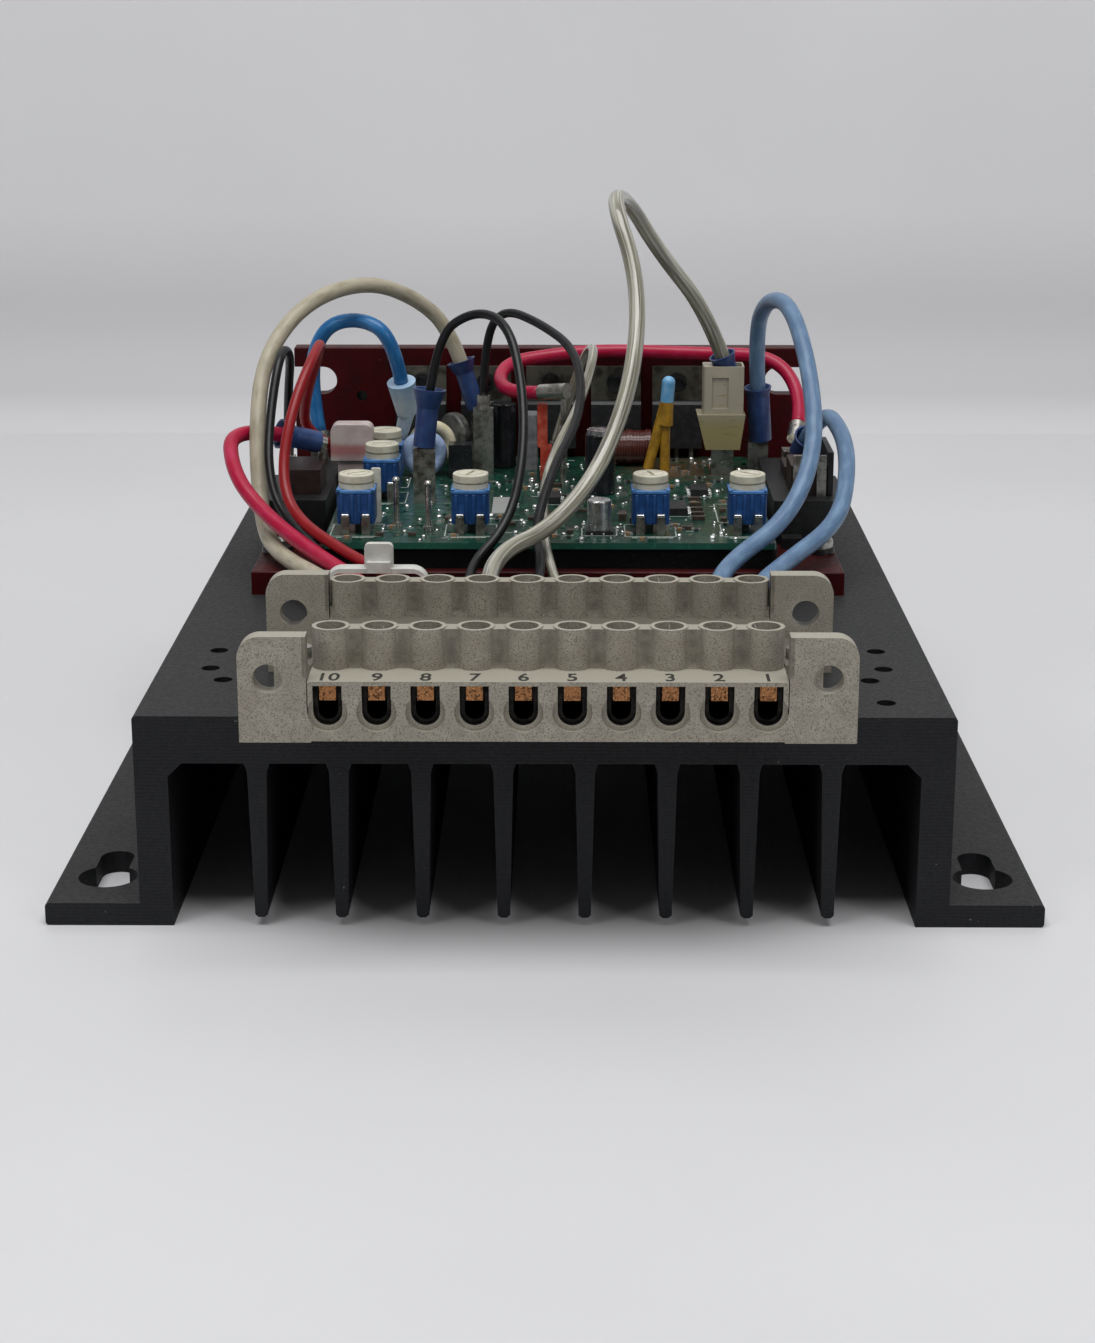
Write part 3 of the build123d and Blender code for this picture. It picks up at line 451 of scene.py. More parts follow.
def piece(name, mesh, finish=None, body=CHASSIS):
    """A finished mesh as a piece that rides on a body."""
    made = placed(name, mesh)
    if finish is not None:
        mesh.materials.clear()
        mesh.materials.append(finish)
    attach(made, body)
    return made


def dress(finish, *nodes):
    """Puts a finish on parts of the frame."""
    for node in nodes:
        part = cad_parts[node]
        part.data.materials.clear()
        part.data.materials.append(finish)


def shell(bm, name, smooth=True):
    """The built shape as a mesh with its faces outwards."""
    bmesh.ops.recalc_face_normals(bm, faces=bm.faces)
    mesh = bpy.data.meshes.new(name)
    bm.to_mesh(mesh)
    bm.free()
    for face in mesh.polygons:
        face.use_smooth = smooth
    return mesh


def drawn(name, curve):
    """A curve or a text as a plain mesh."""
    holder = placed(name, curve)
    graph = bpy.context.evaluated_depsgraph_get()
    mesh = bpy.data.meshes.new_from_object(holder.evaluated_get(graph))
    bpy.data.objects.remove(holder)
    return mesh


def block(bm, low, high, bevel=0.0):
    """A block between two places in the frame, its edges eased."""
    size = high - low
    made = bmesh.ops.create_cube(bm, size=1.0, matrix=Matrix.Translation((low + high) / 2)
                                 @ Matrix.Diagonal((*size, 1.0)))
    if bevel > 0:
        edges = {edge for vertex in made["verts"] for edge in vertex.link_edges}
        bmesh.ops.bevel(bm, geom=list(edges), offset=bevel, segments=2, affect="EDGES", profile=0.6)


def ring(bm, centre, radius, sides, across=Vector((1, 0, 0)), up=Vector((0, 1, 0))):
    """A ring of points round a centre, in the plane of two directions."""
    turns = [2 * math.pi * k / sides for k in range(sides)]
    return [bm.verts.new(centre + radius * (math.cos(turn) * across + math.sin(turn) * up))
            for turn in turns]


def walls(bm, row, other):
    """The faces between two rings of points."""
    corners = zip(row, row[1:] + row[:1], other[1:] + other[:1], other)
    return [bm.faces.new(four) for four in corners]


def ring_band(bm, centre, radius, low, high, out, sides=40):
    """A round band that stands out a little from an upright cylinder."""
    rows = [ring(bm, centre + Vector((0, 0, height)), around, sides) for around, height in (
        (radius, low), (radius + out, low + out), (radius + out, high - out), (radius, high))]
    for row, above in zip(rows, rows[1:] + rows[:1]):
        walls(bm, row, above)


def copies_tree(name, shape, shape_links):
    """Copies of one small shape on points, each turned and sized a little by chance."""
    tree = bpy.data.node_groups.new(name, "GeometryNodeTree")
    for socket, way, kind in (("Places", "INPUT", "Geometry"), ("Size", "INPUT", "Vector"),
                              ("Least", "INPUT", "Float"), ("Turn", "INPUT", "Float"),
                              ("Seed", "INPUT", "Int"), ("Finish", "INPUT", "Material"),
                              ("Copies", "OUTPUT", "Geometry")):
        tree.interface.new_socket(name=socket, in_out=way, socket_type="NodeSocket" + kind)
    enter = add(tree, "NodeGroupInput").outputs
    chance = add(tree, "FunctionNodeRandomValue", {2: enter["Least"], 3: 1.0, "Seed": enter["Seed"]},
                 data_type="FLOAT")
    size = add(tree, "ShaderNodeVectorMath", {0: enter["Size"], "Scale": chance.outputs[1]},
               operation="SCALE")
    angle = add(tree, "FunctionNodeRandomValue", {2: 0.0, 3: enter["Turn"], "Seed": enter["Seed"]},
                data_type="FLOAT")
    copies = add(tree, "GeometryNodeInstanceOnPoints",
                 {"Points": enter["Places"], "Instance": add(tree, shape, shape_links), "Scale": size,
                  "Rotation": add(tree, "ShaderNodeCombineXYZ", {"Z": angle.outputs[1]})})
    real = add(tree, "GeometryNodeRealizeInstances", {0: copies})
    coated = add(tree, "GeometryNodeSetMaterial", {0: real, "Material": enter["Finish"]})
    add(tree, "NodeGroupOutput", {0: coated})
    return tree


def grown(name, tree, places, lift, size_mm, finish, least=1.0, turn=0.0, seed=1):
    """The tree's copies on places of the board, a little above it, as a plain mesh piece."""
    seeds = bpy.data.meshes.new(name + "_places")
    seeds.from_pydata([at(x, y, BOARD_Z + lift) for x, y in places], [], [])
    carrier = placed(name + "_carrier", seeds)
    modifier = carrier.modifiers.new("grow", "NODES")
    modifier.node_group = tree
    values = {"Size": tuple(v * MM for v in size_mm), "Least": least, "Turn": turn, "Seed": seed,
              "Finish": finish}
    for item in tree.interface.items_tree:
        if item.in_out == "INPUT" and item.name in values:
            modifier[item.identifier] = values[item.name]
    carrier.update_tag()
    graph = bpy.context.evaluated_depsgraph_get()
    mesh = bpy.data.meshes.new_from_object(carrier.evaluated_get(graph), depsgraph=graph)
    mesh.name = name
    bpy.data.objects.remove(carrier)
    bpy.data.meshes.remove(seeds)
    return piece(name, mesh)


# Heatsink, frame and fasteners

class CONTROLLER_OT_metalwork(Operator):
    """Finishes the heatsink, the red frame and the fasteners, and paints a hole's shade with a dark plug."""

    bl_idname = "controller.metalwork"
    bl_label = "Metalwork"

    def execute(self, context):
        metal = context.scene.controller_metal
        dress(anodised_charcoal(metal), "heatsink")
        dress(anodised_red(metal), "base_plate", "rear_plate")
        dress(plated("zinc_plated_steel", "b4b4b0", "7c7a74", 0.32), "frame_screws", "terminal_screws")
        dark_steel = plated("dark_plated_steel", "4a4a4a", "2b2b2c", 0.4)
        dress(dark_steel, "frame_washers", "device_screws")
        # Painted shade: a dark steel plug in the rear plate's small hole stands for the shade inside it
        bm = bmesh.new()
        low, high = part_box("rear_plate")
        place = Vector((low[0] + HOLE_SHADE_PLUG_X * MM, (low[1] + high[1]) / 2, TOP + HOLE_SHADE_PLUG_Z * MM))
        bmesh.ops.create_cone(bm, cap_ends=True, segments=24, radius1=HOLE_SHADE_PLUG_RADIUS * MM,
                              radius2=HOLE_SHADE_PLUG_RADIUS * MM, depth=HOLE_SHADE_PLUG_LENGTH * MM,
                              matrix=Matrix.Translation(place) @ Matrix.Rotation(math.pi / 2, 4, "X"))
        piece("hole_shade_plug", shell(bm, "hole_shade_plug", smooth=False), dark_steel)
        return {"FINISHED"}


# Terminal strip

def clamp_rings(finish):
    """The bent steel cages seen in the entries: an upright U with a round hole for the wire."""
    bm = bmesh.new()
    sides = 28
    turns = [math.pi + math.pi * k / (sides - 1) for k in range(sides)]
    for pole in range(POLES):
        centre = at(pole_x(pole), STRIP_FRONT + CAGE_IN, CAGE_Z)
        rows = []
        for radius, depth in ((CAGE_RADIUS, 0.0), (CAGE_HOLE, 0.0),
                              (CAGE_HOLE, CAGE_THICKNESS), (CAGE_RADIUS, CAGE_THICKNESS)):
            arc = [(radius * math.cos(turn), radius * math.sin(turn)) for turn in turns]
            ends = [(x, z + CAGE_RISE) for x, z in (arc[0], arc[-1])]
            rows.append([bm.verts.new(centre + Vector((x, depth, z)) * MM)
                         for x, z in (ends[0], *arc, ends[1])])
        for k in range(sides + 1):
            for row, other in zip(rows, rows[1:] + rows[:1]):
                bm.faces.new((row[k], row[k + 1], other[k + 1], other[k]))
        for k in (0, -1):
            bm.faces.new([row[k] for row in rows])
    return piece("clamp_rings", shell(bm, "clamp_rings", smooth=False), finish)


def pole_numbers(height, finish):
    """Plain numbers printed on the ledge, ten at the left to one at the right."""
    bm = bmesh.new()
    for pole in range(POLES):
        words = bpy.data.curves.new("number", "FONT")
        words.body = str(POLES - pole)
        words.align_x = "CENTER"
        words.size = height * DIGIT_EM
        words.extrude = DIGIT_DEPTH * MM
        words.offset = DIGIT_STROKE * MM
        words.resolution_u = 4
        mesh = drawn("number", words)
        place = at(pole_x(pole), STRIP_FRONT + DIGIT_IN, LEDGE_Z + DIGIT_DEPTH)
        mesh.transform(Matrix.Translation(place) @ Matrix.Diagonal((DIGIT_WIDTH, 1.0, 1.0, 1.0)))
        bm.from_mesh(mesh)
        bpy.data.meshes.remove(mesh)
    return piece("pole_numbers", shell(bm, "pole_numbers", smooth=False), finish)


def hairs(count, finish):
    """Short pale hairs that stand in the towers' mouths."""
    chance = random.Random(HAIR_SEED)
    bm = bmesh.new()
    for _ in range(count):
        pole = chance.randrange(POLES)
        row = chance.choice(TOWER_ROWS)
        foot = at(pole_x(pole) + chance.uniform(-1.8, 1.8), row[0] + chance.uniform(0.5, 2.2), row[1] - 3.0)
        lean = Vector((chance.uniform(-1.0, 1.0), chance.uniform(-0.4, 0.4), 0)) * MM
        height = chance.uniform(2.0, 3.4) * MM
        rows = []
        for share in (k / 5 for k in range(6)):
            centre = foot + lean * share * share + Vector((0, 0, height * share))
            rows.append(ring(bm, centre, HAIR_RADIUS * MM * (1 - 0.5 * share), 5))
        for row, above in zip(rows, rows[1:]):
            walls(bm, row, above)
        bm.faces.new(rows[0][::-1])
        bm.faces.new(rows[-1])
    return piece("tower_hairs", shell(bm, "tower_hairs"), finish)


class CONTROLLER_OT_terminal_strip(Operator):
    """Finishes the strip and adds its clamp cages, pole numbers and caught hairs."""

    bl_idname = "controller.terminal_strip"
    bl_label = "Terminal strip"

    def execute(self, context):
        strip = context.scene.controller_strip
        dress(moulded_polyamide(strip), "terminal_plug", "terminal_socket")
        cage = plated("oxidised_cage_steel", "2b2926", "151413", 0.45, grain_mm=0.8)
        dress(cage, "plug_cages", "socket_cages")
        clamp_rings(cage)
        copper = Finish("rolled_copper", strip.copper, 0.4, Metallic=0.85)
        copper.blotch("5f3f28", 0.6, 0.5, 0.6, detail=5.0)
        copper.blotch("d8a878", 0.4, 0.56, 0.64, detail=5.0)
        dress(copper.embossed(0.35, 0.06), "clamp_plates")
        pole_numbers(strip.digit_height, plain_plastic("printing_ink", "262622", "393833", 0.6, 0.5))
        hairs(strip.hair_count, plain_plastic("pale_fibre", "d8d8d4", "bdbdb8", 0.5))
        return {"FINISHED"}


# Circuit board

def bare_places():
    """A test of whether the board is bare round a place, from the frame's own parts."""
    trees = []
    for name in STANDING:
        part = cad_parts[name].data
        trees.append(BVHTree.FromPolygons([v.co for v in part.vertices],
                                          [tuple(p.vertices) for p in part.polygons]))
    down = Vector((0, 0, -1))

    def bare(x, y, margin):
        for dx, dy in ((0, 0), (margin, 0), (-margin, 0), (0, margin), (0, -margin)):
            start = at(x + dx, y + dy, BOARD_Z + LOOK_FROM)
            for tree in trees:
                if tree.ray_cast(start, down, LOOK_REACH * MM)[0] is not None:
                    return False
        return True

    return bare


def on_board(chance, inset):
    """A place on the board by chance, in the controller's millimetres."""
    x = chance.uniform(BOARD_LOW[0] / MM + inset, BOARD_HIGH[0] / MM - inset)
    y = chance.uniform((BOARD_LOW[1] - FRONT) / MM + inset, (BOARD_HIGH[1] - FRONT) / MM - inset)
    return x, y


def ribbon(bm, line, width, height):
    """A flat strip of copper or ink along a line of places, with a thickness that shows at its edge."""
    for start, stop in zip(line, line[1:]):
        way = stop - start
        if way.length < 1e-6:
            continue
        side = Vector((-way.y, way.x, 0)).normalized() * width / 2
        ahead = way.normalized() * width / 2
        corners = (start - ahead + side, start - ahead - side, stop + ahead - side, stop + ahead + side)
        low = [bm.verts.new(c) for c in corners]
        high = [bm.verts.new(c + Vector((0, 0, height))) for c in corners]
        bm.faces.new(high)
        bm.faces.new(low[::-1])
        for k in range(4):
            bm.faces.new((low[k], low[(k + 1) % 4], high[(k + 1) % 4], high[k]))


def tracks(board, finish):
    """Copper tracks that run straight and turn at half right angles."""
    chance = random.Random(board.seed)
    bm = bmesh.new()
    left, right = BOARD_LOW[0] / MM + 1.8, BOARD_HIGH[0] / MM - 1.5
    front, back = (BOARD_LOW[1] - FRONT) / MM + 1.7, (BOARD_HIGH[1] - FRONT) / MM - 1.5
    for _ in range(board.track_count):
        x, y = on_board(chance, 3.0)
        heading = chance.choice((0, 2, 4, 6))
        line = [at(x, y, BOARD_Z)]
        for _ in range(chance.randint(2, 4)):
            length = chance.uniform(2.0, 11.0)
            x += length * math.cos(heading * math.pi / 4)
            y += length * math.sin(heading * math.pi / 4)
            x = min(max(x, left), right)
            y = min(max(y, front), back)
            line.append(at(x, y, BOARD_Z))
            heading += chance.choice((-1, 1))
        ribbon(bm, line, chance.choice(COPPER_WIDTHS) * MM, COPPER_HEIGHT * MM)
    return piece("copper_tracks", shell(bm, "copper_tracks", smooth=False), finish)


def outline(bm, x0, x1, y0, y1, width):
    """A printed box."""
    corners = [at(x0, y0, BOARD_Z), at(x1, y0, BOARD_Z), at(x1, y1, BOARD_Z), at(x0, y1, BOARD_Z)]
    ribbon(bm, corners + corners[:1], width * MM, INK_HEIGHT * MM)


def silkscreen(board, finish):
    """White printed boxes round the parts, and short dashes where the marks stand."""
    chance = random.Random(board.seed + 1)
    bm = bmesh.new()
    reach = TRIMMER_WIDTH / 2 + TRIMMER_BOX_GAP
    for x, y in TRIMMERS:
        outline(bm, x - reach, x + reach, y - reach - 0.9, y + reach, TRIMMER_BOX_LINE)
        for k in range(chance.randint(4, 7)):
            start = x - 4.5 + k * 1.5
            ribbon(bm, [at(start, y - reach - 2.1, BOARD_Z), at(start + 0.8, y - reach - 2.1, BOARD_Z)],
                   0.55 * MM, INK_HEIGHT * MM)
    for box in PRINTED_BOXES:
        outline(bm, *box, BOX_LINE)
    bare = bare_places()
    for _ in range(DASH_COUNT):
        x, y = on_board(chance, 4.0)
        if bare(x, y, 1.2):
            across = chance.random() < 0.6
            far = at(x + (DASH_LENGTH if across else 0), y + (0 if across else DASH_LENGTH), BOARD_Z)
            ribbon(bm, [at(x, y, BOARD_Z), far], DASH_WIDTH * MM, INK_HEIGHT * MM)
    return piece("silkscreen", shell(bm, "silkscreen", smooth=False), finish)


def scattered(chance, bare, count, inset, margin, apart, taken):
    """Bare places on the board, at least a little apart from each other."""
    found = []
    tries = 0
    while len(found) < count and tries < count * 60:
        tries += 1
        x, y = on_board(chance, inset)
        if all((x - a) ** 2 + (y - b) ** 2 > (apart + gap) ** 2 for a, b, gap in taken) \
                and bare(x, y, margin):
            found.append((x, y))
            taken.append((x, y, apart))
    return found


def chip_legs(bm, x0, x1, y0, y1, pitch, along_x=False):
    """Tiny bent legs on both long sides of a flat chip."""
    start, stop, edges = (x0, x1, (y0, y1)) if along_x else (y0, y1, (x0, x1))
    for k in range(int((stop - start) / pitch)):
        middle = start + pitch * (k + 0.5)
        for edge, side in zip(edges, (-1, 1)):
            near, far = sorted((edge, edge + side * CHIP_LEG_REACH))
            low, high = (middle - CHIP_LEG_WIDTH / 2, near), (middle + CHIP_LEG_WIDTH / 2, far)
            if not along_x:
                low, high = low[::-1], high[::-1]
            block(bm, at(*low, BOARD_Z), at(*high, BOARD_Z + CHIP_LEG_HEIGHT), bevel=0.08 * MM)


class CONTROLLER_OT_board(Operator):
    """Finishes the board and adds tracks, printing, solder, chips' legs and a blank label."""

    bl_idname = "controller.board"
    bl_label = "Circuit board"

    def execute(self, context):
        board = context.scene.controller_board
        chance = random.Random(board.seed + 2)
        dress(lacquered_laminate(board), "circuit_board")
        carrier = Finish("moulded_phenolic", "060708", 0.5, Specular_IOR_Level=0.3)
        carrier.blotch("1e1f1e", 0.7, 0.60, 0.70, detail=5.0)
        dress(carrier.embossed(0.8, 0.12), "board_carrier")
        bare = bare_places()
        tracks(board, plain_plastic("lacquered_copper", board.track, "194838", 0.3, 1.0))
        silkscreen(board, plain_plastic("white_printing", "b4bab3", "98a198", 0.5, 0.6))

        solder = plated("bright_solder", board.solder, "a2a4a1", 0.2, grain_mm=0.8)
        taken = []
        joints = [(x + leg, DEVICE_LEGS_Y) for x in DEVICES_X for leg in DEVICE_LEGS_X]
        joints += scattered(chance, bare, board.joint_count, 2.0, 0.9, 0.9, taken)
        domes = copies_tree("solder_domes", "GeometryNodeMeshUVSphere",
                            {"Segments": 12, "Rings": 8, "Radius": 0.5})
        grown("solder_joints", domes, joints, 0.05, (1.9, 1.9, 1.6), solder, 0.45, 6.28, board.seed)
        rings = copies_tree("via_rings", "GeometryNodeMeshCylinder",
                            {"Vertices": 14, "Radius": 0.5, "Depth": 1.0})
        holes = scattered(chance, bare, VIA_COUNT, 1.5, 0.5, 0.5, taken)
        grown("vias", rings, holes, 0.03, (0.95, 0.95, 0.08),
              plated("tinned_copper", "9c8f78", "5f5a4c", 0.35), 0.7, seed=VIA_SEED)
        small = scattered(chance, bare, board.chip_count, 3.0, 1.5, 1.6, taken)
        cubes = copies_tree("chip_blocks", "GeometryNodeMeshCube", {"Size": (1.0, 1.0, 1.0)})
        paste = plain_plastic("fired_resistor_paste", "26272a", "3c3d40", 0.4, 0.6)
        grown("chip_resistors", cubes, small[::2], 0.275, (1.3, 1.25, 0.55), paste)
        ceramic = plain_plastic("fired_ceramic", "9c7f5e", "7f6549", 0.45, 0.6)
        grown("chip_capacitors", cubes, small[1::2], 0.4, (1.2, 1.2, 0.8), ceramic)
        ends = [(x + side * 0.9, y) for x, y in small for side in (-1, 1)]
        grown("chip_ends", cubes, ends, 0.35, (0.75, 1.35, 0.7), solder)

        bm = bmesh.new()
        for chip in CHIPS:
            chip_legs(bm, *chip, CHIP_PITCH)
        chip_legs(bm, *CAN_BASE, CAN_PITCH, along_x=True)
        piece("chip_legs", shell(bm, "chip_legs"), solder)

        bm = bmesh.new()
        x0, x1, y0, y1 = LABEL
        block(bm, at(x0, y0, BOARD_Z + LABEL_LOW), at(x1, y1, BOARD_Z + LABEL_HIGH), bevel=0.03 * MM)
        paper = Finish("plain_paper_label", "999b98", 0.5)
        wave = add(paper.tree, "ShaderNodeTexWave", {"Vector": paper.place, "Scale": lines_scale(2.2)},
                   bands_direction="Y")
        paper.turn("62656a", wave.outputs["Fac"], 0.86, 0.95, 0.5)
        piece("blank_label", shell(bm, "blank_label", smooth=False), paper.done())
        return {"FINISHED"}


# Trimmers

class CONTROLLER_OT_trimmers(Operator):
    """Finishes the trimmers, adds ribs on their cases and dark bands of painted shade round each dial."""

    bl_idname = "controller.trimmers"
    bl_label = "Trimmers"

    def execute(self, context):
        blue = plain_plastic("moulded_blue_polyester", "153f74", "1f4d87", 0.4, 1.2)
        rim = plain_plastic("pale_blue_edge", "4f86c4", "3f74b0", 0.35, 1.2)
        cream = plain_plastic("moulded_cream_nylon", "d0ccba", "bbb7a3", 0.5, 1.6)
        shadow = plain_plastic("dial_groove", "8f8c7a", "77745f", 0.6, 1.0)
        dress(blue, "trimmer_bodies")
        dress(plated("tinned_leg", "a09e97", "6b675f", 0.3), "trimmer_legs")
        low, high = ((corner[2] - TOP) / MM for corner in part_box("trimmer_bodies"))
        half = TRIMMER_WIDTH / 2
        inner = half - RIM_WIDTH
        ribs, rims, caps = bmesh.new(), bmesh.new(), bmesh.new()
        for number, (x, y) in enumerate(TRIMMERS, start=1):
            for side in (-1, 1):
                near, far = sorted((y + side * half, y + side * (half + RIB_OUT)))
                for offset in RIBS_X:
                    block(ribs, at(x + offset - RIB_WIDTH / 2, near, low + 0.2),
                          at(x + offset + RIB_WIDTH / 2, far, high - 1.0), bevel=0.12 * MM)
            for x0, x1, y0, y1 in ((-half, half, -half, -inner), (-half, half, inner, half),
                                   (-half, -inner, -half, half), (inner, half, -half, half)):
                block(rims, at(x + x0 - RIM_OUT, y + y0 - RIM_OUT, high - RIM_HEIGHT),
                      at(x + x1 + RIM_OUT, y + y1 + RIM_OUT, high + 0.03), bevel=0.12 * MM)
            for offset in LEG_TOPS_X:
                block(caps, at(x + offset - LEG_TOP_WIDTH / 2, y - half - 1.25, BOARD_Z + 4.6),
                      at(x + offset + LEG_TOP_WIDTH / 2, y - half - 0.1, BOARD_Z + 5.35), bevel=0.25 * MM)
            dress(cream, "trimmer_dial_%d" % number)
            top = (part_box("trimmer_dial_%d" % number)[1][2] - TOP) / MM
            # Painted shade: dark bands round the dial
            groove = bmesh.new()
            for height, *sizes in DIAL_BANDS:
                ring_band(groove, at(x, y, top + height), *(size * MM for size in sizes))
            piece("dial_groove_%d" % number, shell(groove, "dial_groove"), shadow, "dial_%d" % number)
        piece("trimmer_ribs", shell(ribs, "trimmer_ribs"), blue)
        piece("trimmer_rims", shell(rims, "trimmer_rims"), rim)
        piece("leg_tops", shell(caps, "leg_tops"), plated("polished_leg", "e6e6e4", "c2c2c0", 0.15))
        return {"FINISHED"}


# Other parts on the board and the frame

class CONTROLLER_OT_components(Operator):
    """Finishes the capacitors, coils, resistor, posts, devices and side modules."""

    bl_idname = "controller.components"
    bl_label = "Components"

    def execute(self, context):
        tinned = plated("tinned_brass", "b5b3ab", "6f6b62", 0.3)
        dress(tinned, "receptacles", "module_tabs")
        dress(plated("polished_post", "c4c2bb", "8f8c84", 0.2), "test_posts")
        dress(plated("drawn_can", "c9cac8", "8f9190", 0.24, grain_mm=2.0), "capacitor_cans")
        dress(plain_plastic("white_acetal", "d8d6cc", "c1beb2", 0.4, 1.5), "white_strip")
        epoxy = plain_plastic("moulded_epoxy", "1c1d1f", "2c2d2f", 0.5, 0.8, 0.05)
        dress(epoxy, "soic_chips", "device_bodies")
        dress(plain_plastic("fired_paste", "3b3530", "57493a", 0.4, 0.8), "chip_parts")
        dress(plain_plastic("shrink_sleeve", "191a1d", "26282d", 0.22, 2.5), "black_capacitors")
        dress(plain_plastic("dipped_epoxy", "343532", "5a5a55", 0.35, 1.4, 0.12), "disc_varistor")
        dress(striped("lacquered_copper_turns", "42160f", "602a20", 0.3, 0.8, "X", Coat_Weight=0.5), "choke")
        dress(plain_plastic("grey_film_case", "7d7f80", "62656a", 0.45, 1.6), "grey_capacitor")
        dress(plain_plastic("orange_red_dip", "c2402f", "d86a55", 0.3, 1.2), "red_capacitor")
        dress(plain_plastic("pale_blue_winding", "a3b7d6", "8399be", 0.4, 1.0, 0.1), "ring_coil")
        dress(plain_plastic("cream_ring_coating", "d9d2b6", "c4bb99", 0.45, 1.2), "ring_core")
        dress(plain_plastic("mustard_lacquer", "b08526", "8f6a1c", 0.35, 1.2), "sleeved_resistor")
        dress(plain_plastic("sky_blue_sleeve", "63aade", "8cc3ea", 0.35, 1.6), "blue_tip")
        dress(plated("nickel_tab", "7d7b70", "504d44", 0.45, grain_mm=1.6), "device_tabs")
        dress(plain_plastic("glass_filled_black", "0c0d0e", "1a1c1d", 0.5, 1.4, 0.08), "module_cases")
        dress(plain_plastic("brown_phenolic", "221412", "301f1a", 0.45, 1.2, 0.08), "module_blocks")
        return {"FINISHED"}


# Leads

def strip_end(pole, height):
    """Where a lead starts against its clamp, and the end of its straight part."""
    return [(pole_x(pole), CLAMP_Y, height), (pole_x(pole), CLAMP_Y + LEAD_STRAIGHT, height)]


LEADS = {
    "wire_beige": (4.2, "cream", strip_end(0, 6.0) + [
        (-49.5, 78.5, 8), (-69.5, 110.5, 9), (-74.5, 129, 15), (-76.5, 140.5, 35), (-75.5, 155, 52),
        (-65.5, 170, 64.5), (-50, 184.5, 68), (-37, 196, 61.5), (-28, 200.5, 52), (-23.6, 200, 38)]),
    "wire_pink_left": (3.9, "crimson", strip_end(1, 6.0) + [
        (-45, 80.5, 9), (-57, 98.5, 11.2), (-70.5, 113.5, 17), (-81, 125, 26), (-84, 144, 36),
        (-66, 153.5, 30)]),
    "wire_black_1": (2.4, "black", strip_end(2, 4.6) + [
        (-37.5, 77.5, 5.5), (-53, 99, 8.4), (-68, 121.5, 15.5), (-72.5, 129.5, 26), (-72.5, 140, 40),
        (-70.5, 150, 54.5), (-69, 161, 52), (-71, 169, 39), (-71.7, 171.6, 27)]),
    "wire_red_left": (2.8, "red", strip_end(2, 9.0) + [
        (-35.5, 76, 10.8), (-49.2, 94, 12.7), (-64, 111, 18), (-68, 120, 27.5), (-65.5, 129.5, 43.5),
        (-60, 144.5, 56.5), (-60.5, 156.5, 54.5), (-65.6, 161, 39.5), (-66.6, 166, 29),
        (-57.6, 168.6, 24.4)]),
    "wire_blue_left": (4.0, "bright_blue", [
        (-64.2, 184, 26), (-67, 187, 41), (-63, 186, 55), (-52.5, 184, 58), (-43, 179.5, 53.5),
        (-41.2, 184.5, 40)]),
    "wire_black_2": (2.4, "black", strip_end(3, 4.6) + [
        (-17.5, 74, 5.4), (-20, 90.5, 9.5), (-9.5, 102, 18.5), (-6, 112.5, 33.5), (-6.5, 126, 49.5),
        (-10.5, 138, 63.5), (-19.5, 149, 65), (-30, 152, 57.5), (-32.4, 151, 36)]),
    "wire_black_3": (2.4, "black", strip_end(4, 6.5) + [
        (-1, 85.5, 11.8), (-3.5, 99.5, 16.5), (1, 117.5, 29), (9, 140.5, 40), (7.5, 160.5, 52.5),
        (-2.5, 176.5, 57.5), (-13, 188, 60), (-18.2, 192.5, 51), (-18.6, 191.5, 35)]),
    "wire_clear_fat": (4.2, "clear", strip_end(3, 9.0) + [
        (-13, 81.5, 15.5), (1.5, 93.5, 19.5), (14, 110.5, 32), (22, 124, 53.5), (23, 138, 74.5),
        (16, 151, 94.5), (21, 171.5, 91), (29.5, 180, 76.5), (43.5, 187.5, 59), (49.4, 190, 42.8)]),
    "wire_clear_thin": (2.5, "clear", strip_end(5, 6.5) + [
        (0.5, 89, 10.6), (-1.5, 110, 17.5), (-0.5, 131.5, 27), (9, 156.5, 40), (13, 176.5, 53),
        (8, 191, 44), (1.5, 194, 21)]),
    "wire_paleblue_1": (4.4, "pale_blue", strip_end(8, 6.0) + [
        (40, 76, 8), (44.5, 92.5, 11), (60, 105.5, 19), (68, 121.5, 33), (68, 140, 49.5),
        (64, 158, 65.5), (59, 175.5, 64.5), (56.9, 189.5, 53.5), (58.5, 192.4, 34)]),
    "wire_paleblue_2": (4.4, "pale_blue", strip_end(9, 6.0) + [
        (50.5, 80.5, 8), (59.5, 98.5, 10), (73.5, 113, 16.5), (77, 127, 27), (77, 141, 34),
        (73, 156, 38), (69, 169, 24.9)]),
    "wire_pink_rear": (3.8, "crimson", [
        (69.5, 190, 27), (71.5, 198.5, 33.5), (64.5, 209.6, 43.5), (44, 211.6, 43.6), (18, 212.2, 44.5),
        (3, 212.2, 43.5), (-14, 207.5, 41.5), (-14, 190, 35.5), (-2.5, 182, 37.5)]),
}


def centreline(route):
    """A smooth spline with the route's points as its control points, read back as places."""
    curve = bpy.data.curves.new("route", "CURVE")
    curve.dimensions = "3D"
    curve.resolution_u = 16
    spline = curve.splines.new("NURBS")
    spline.points.add(len(route) - 1)
    for point, place in zip(spline.points, route):
        point.co = (*at(*place), 1.0)
    spline.order_u = 3
    spline.use_endpoint_u = True
    mesh = drawn("route", curve)
    line = [vertex.co.copy() for vertex in mesh.vertices]
    bpy.data.meshes.remove(mesh)
    return line


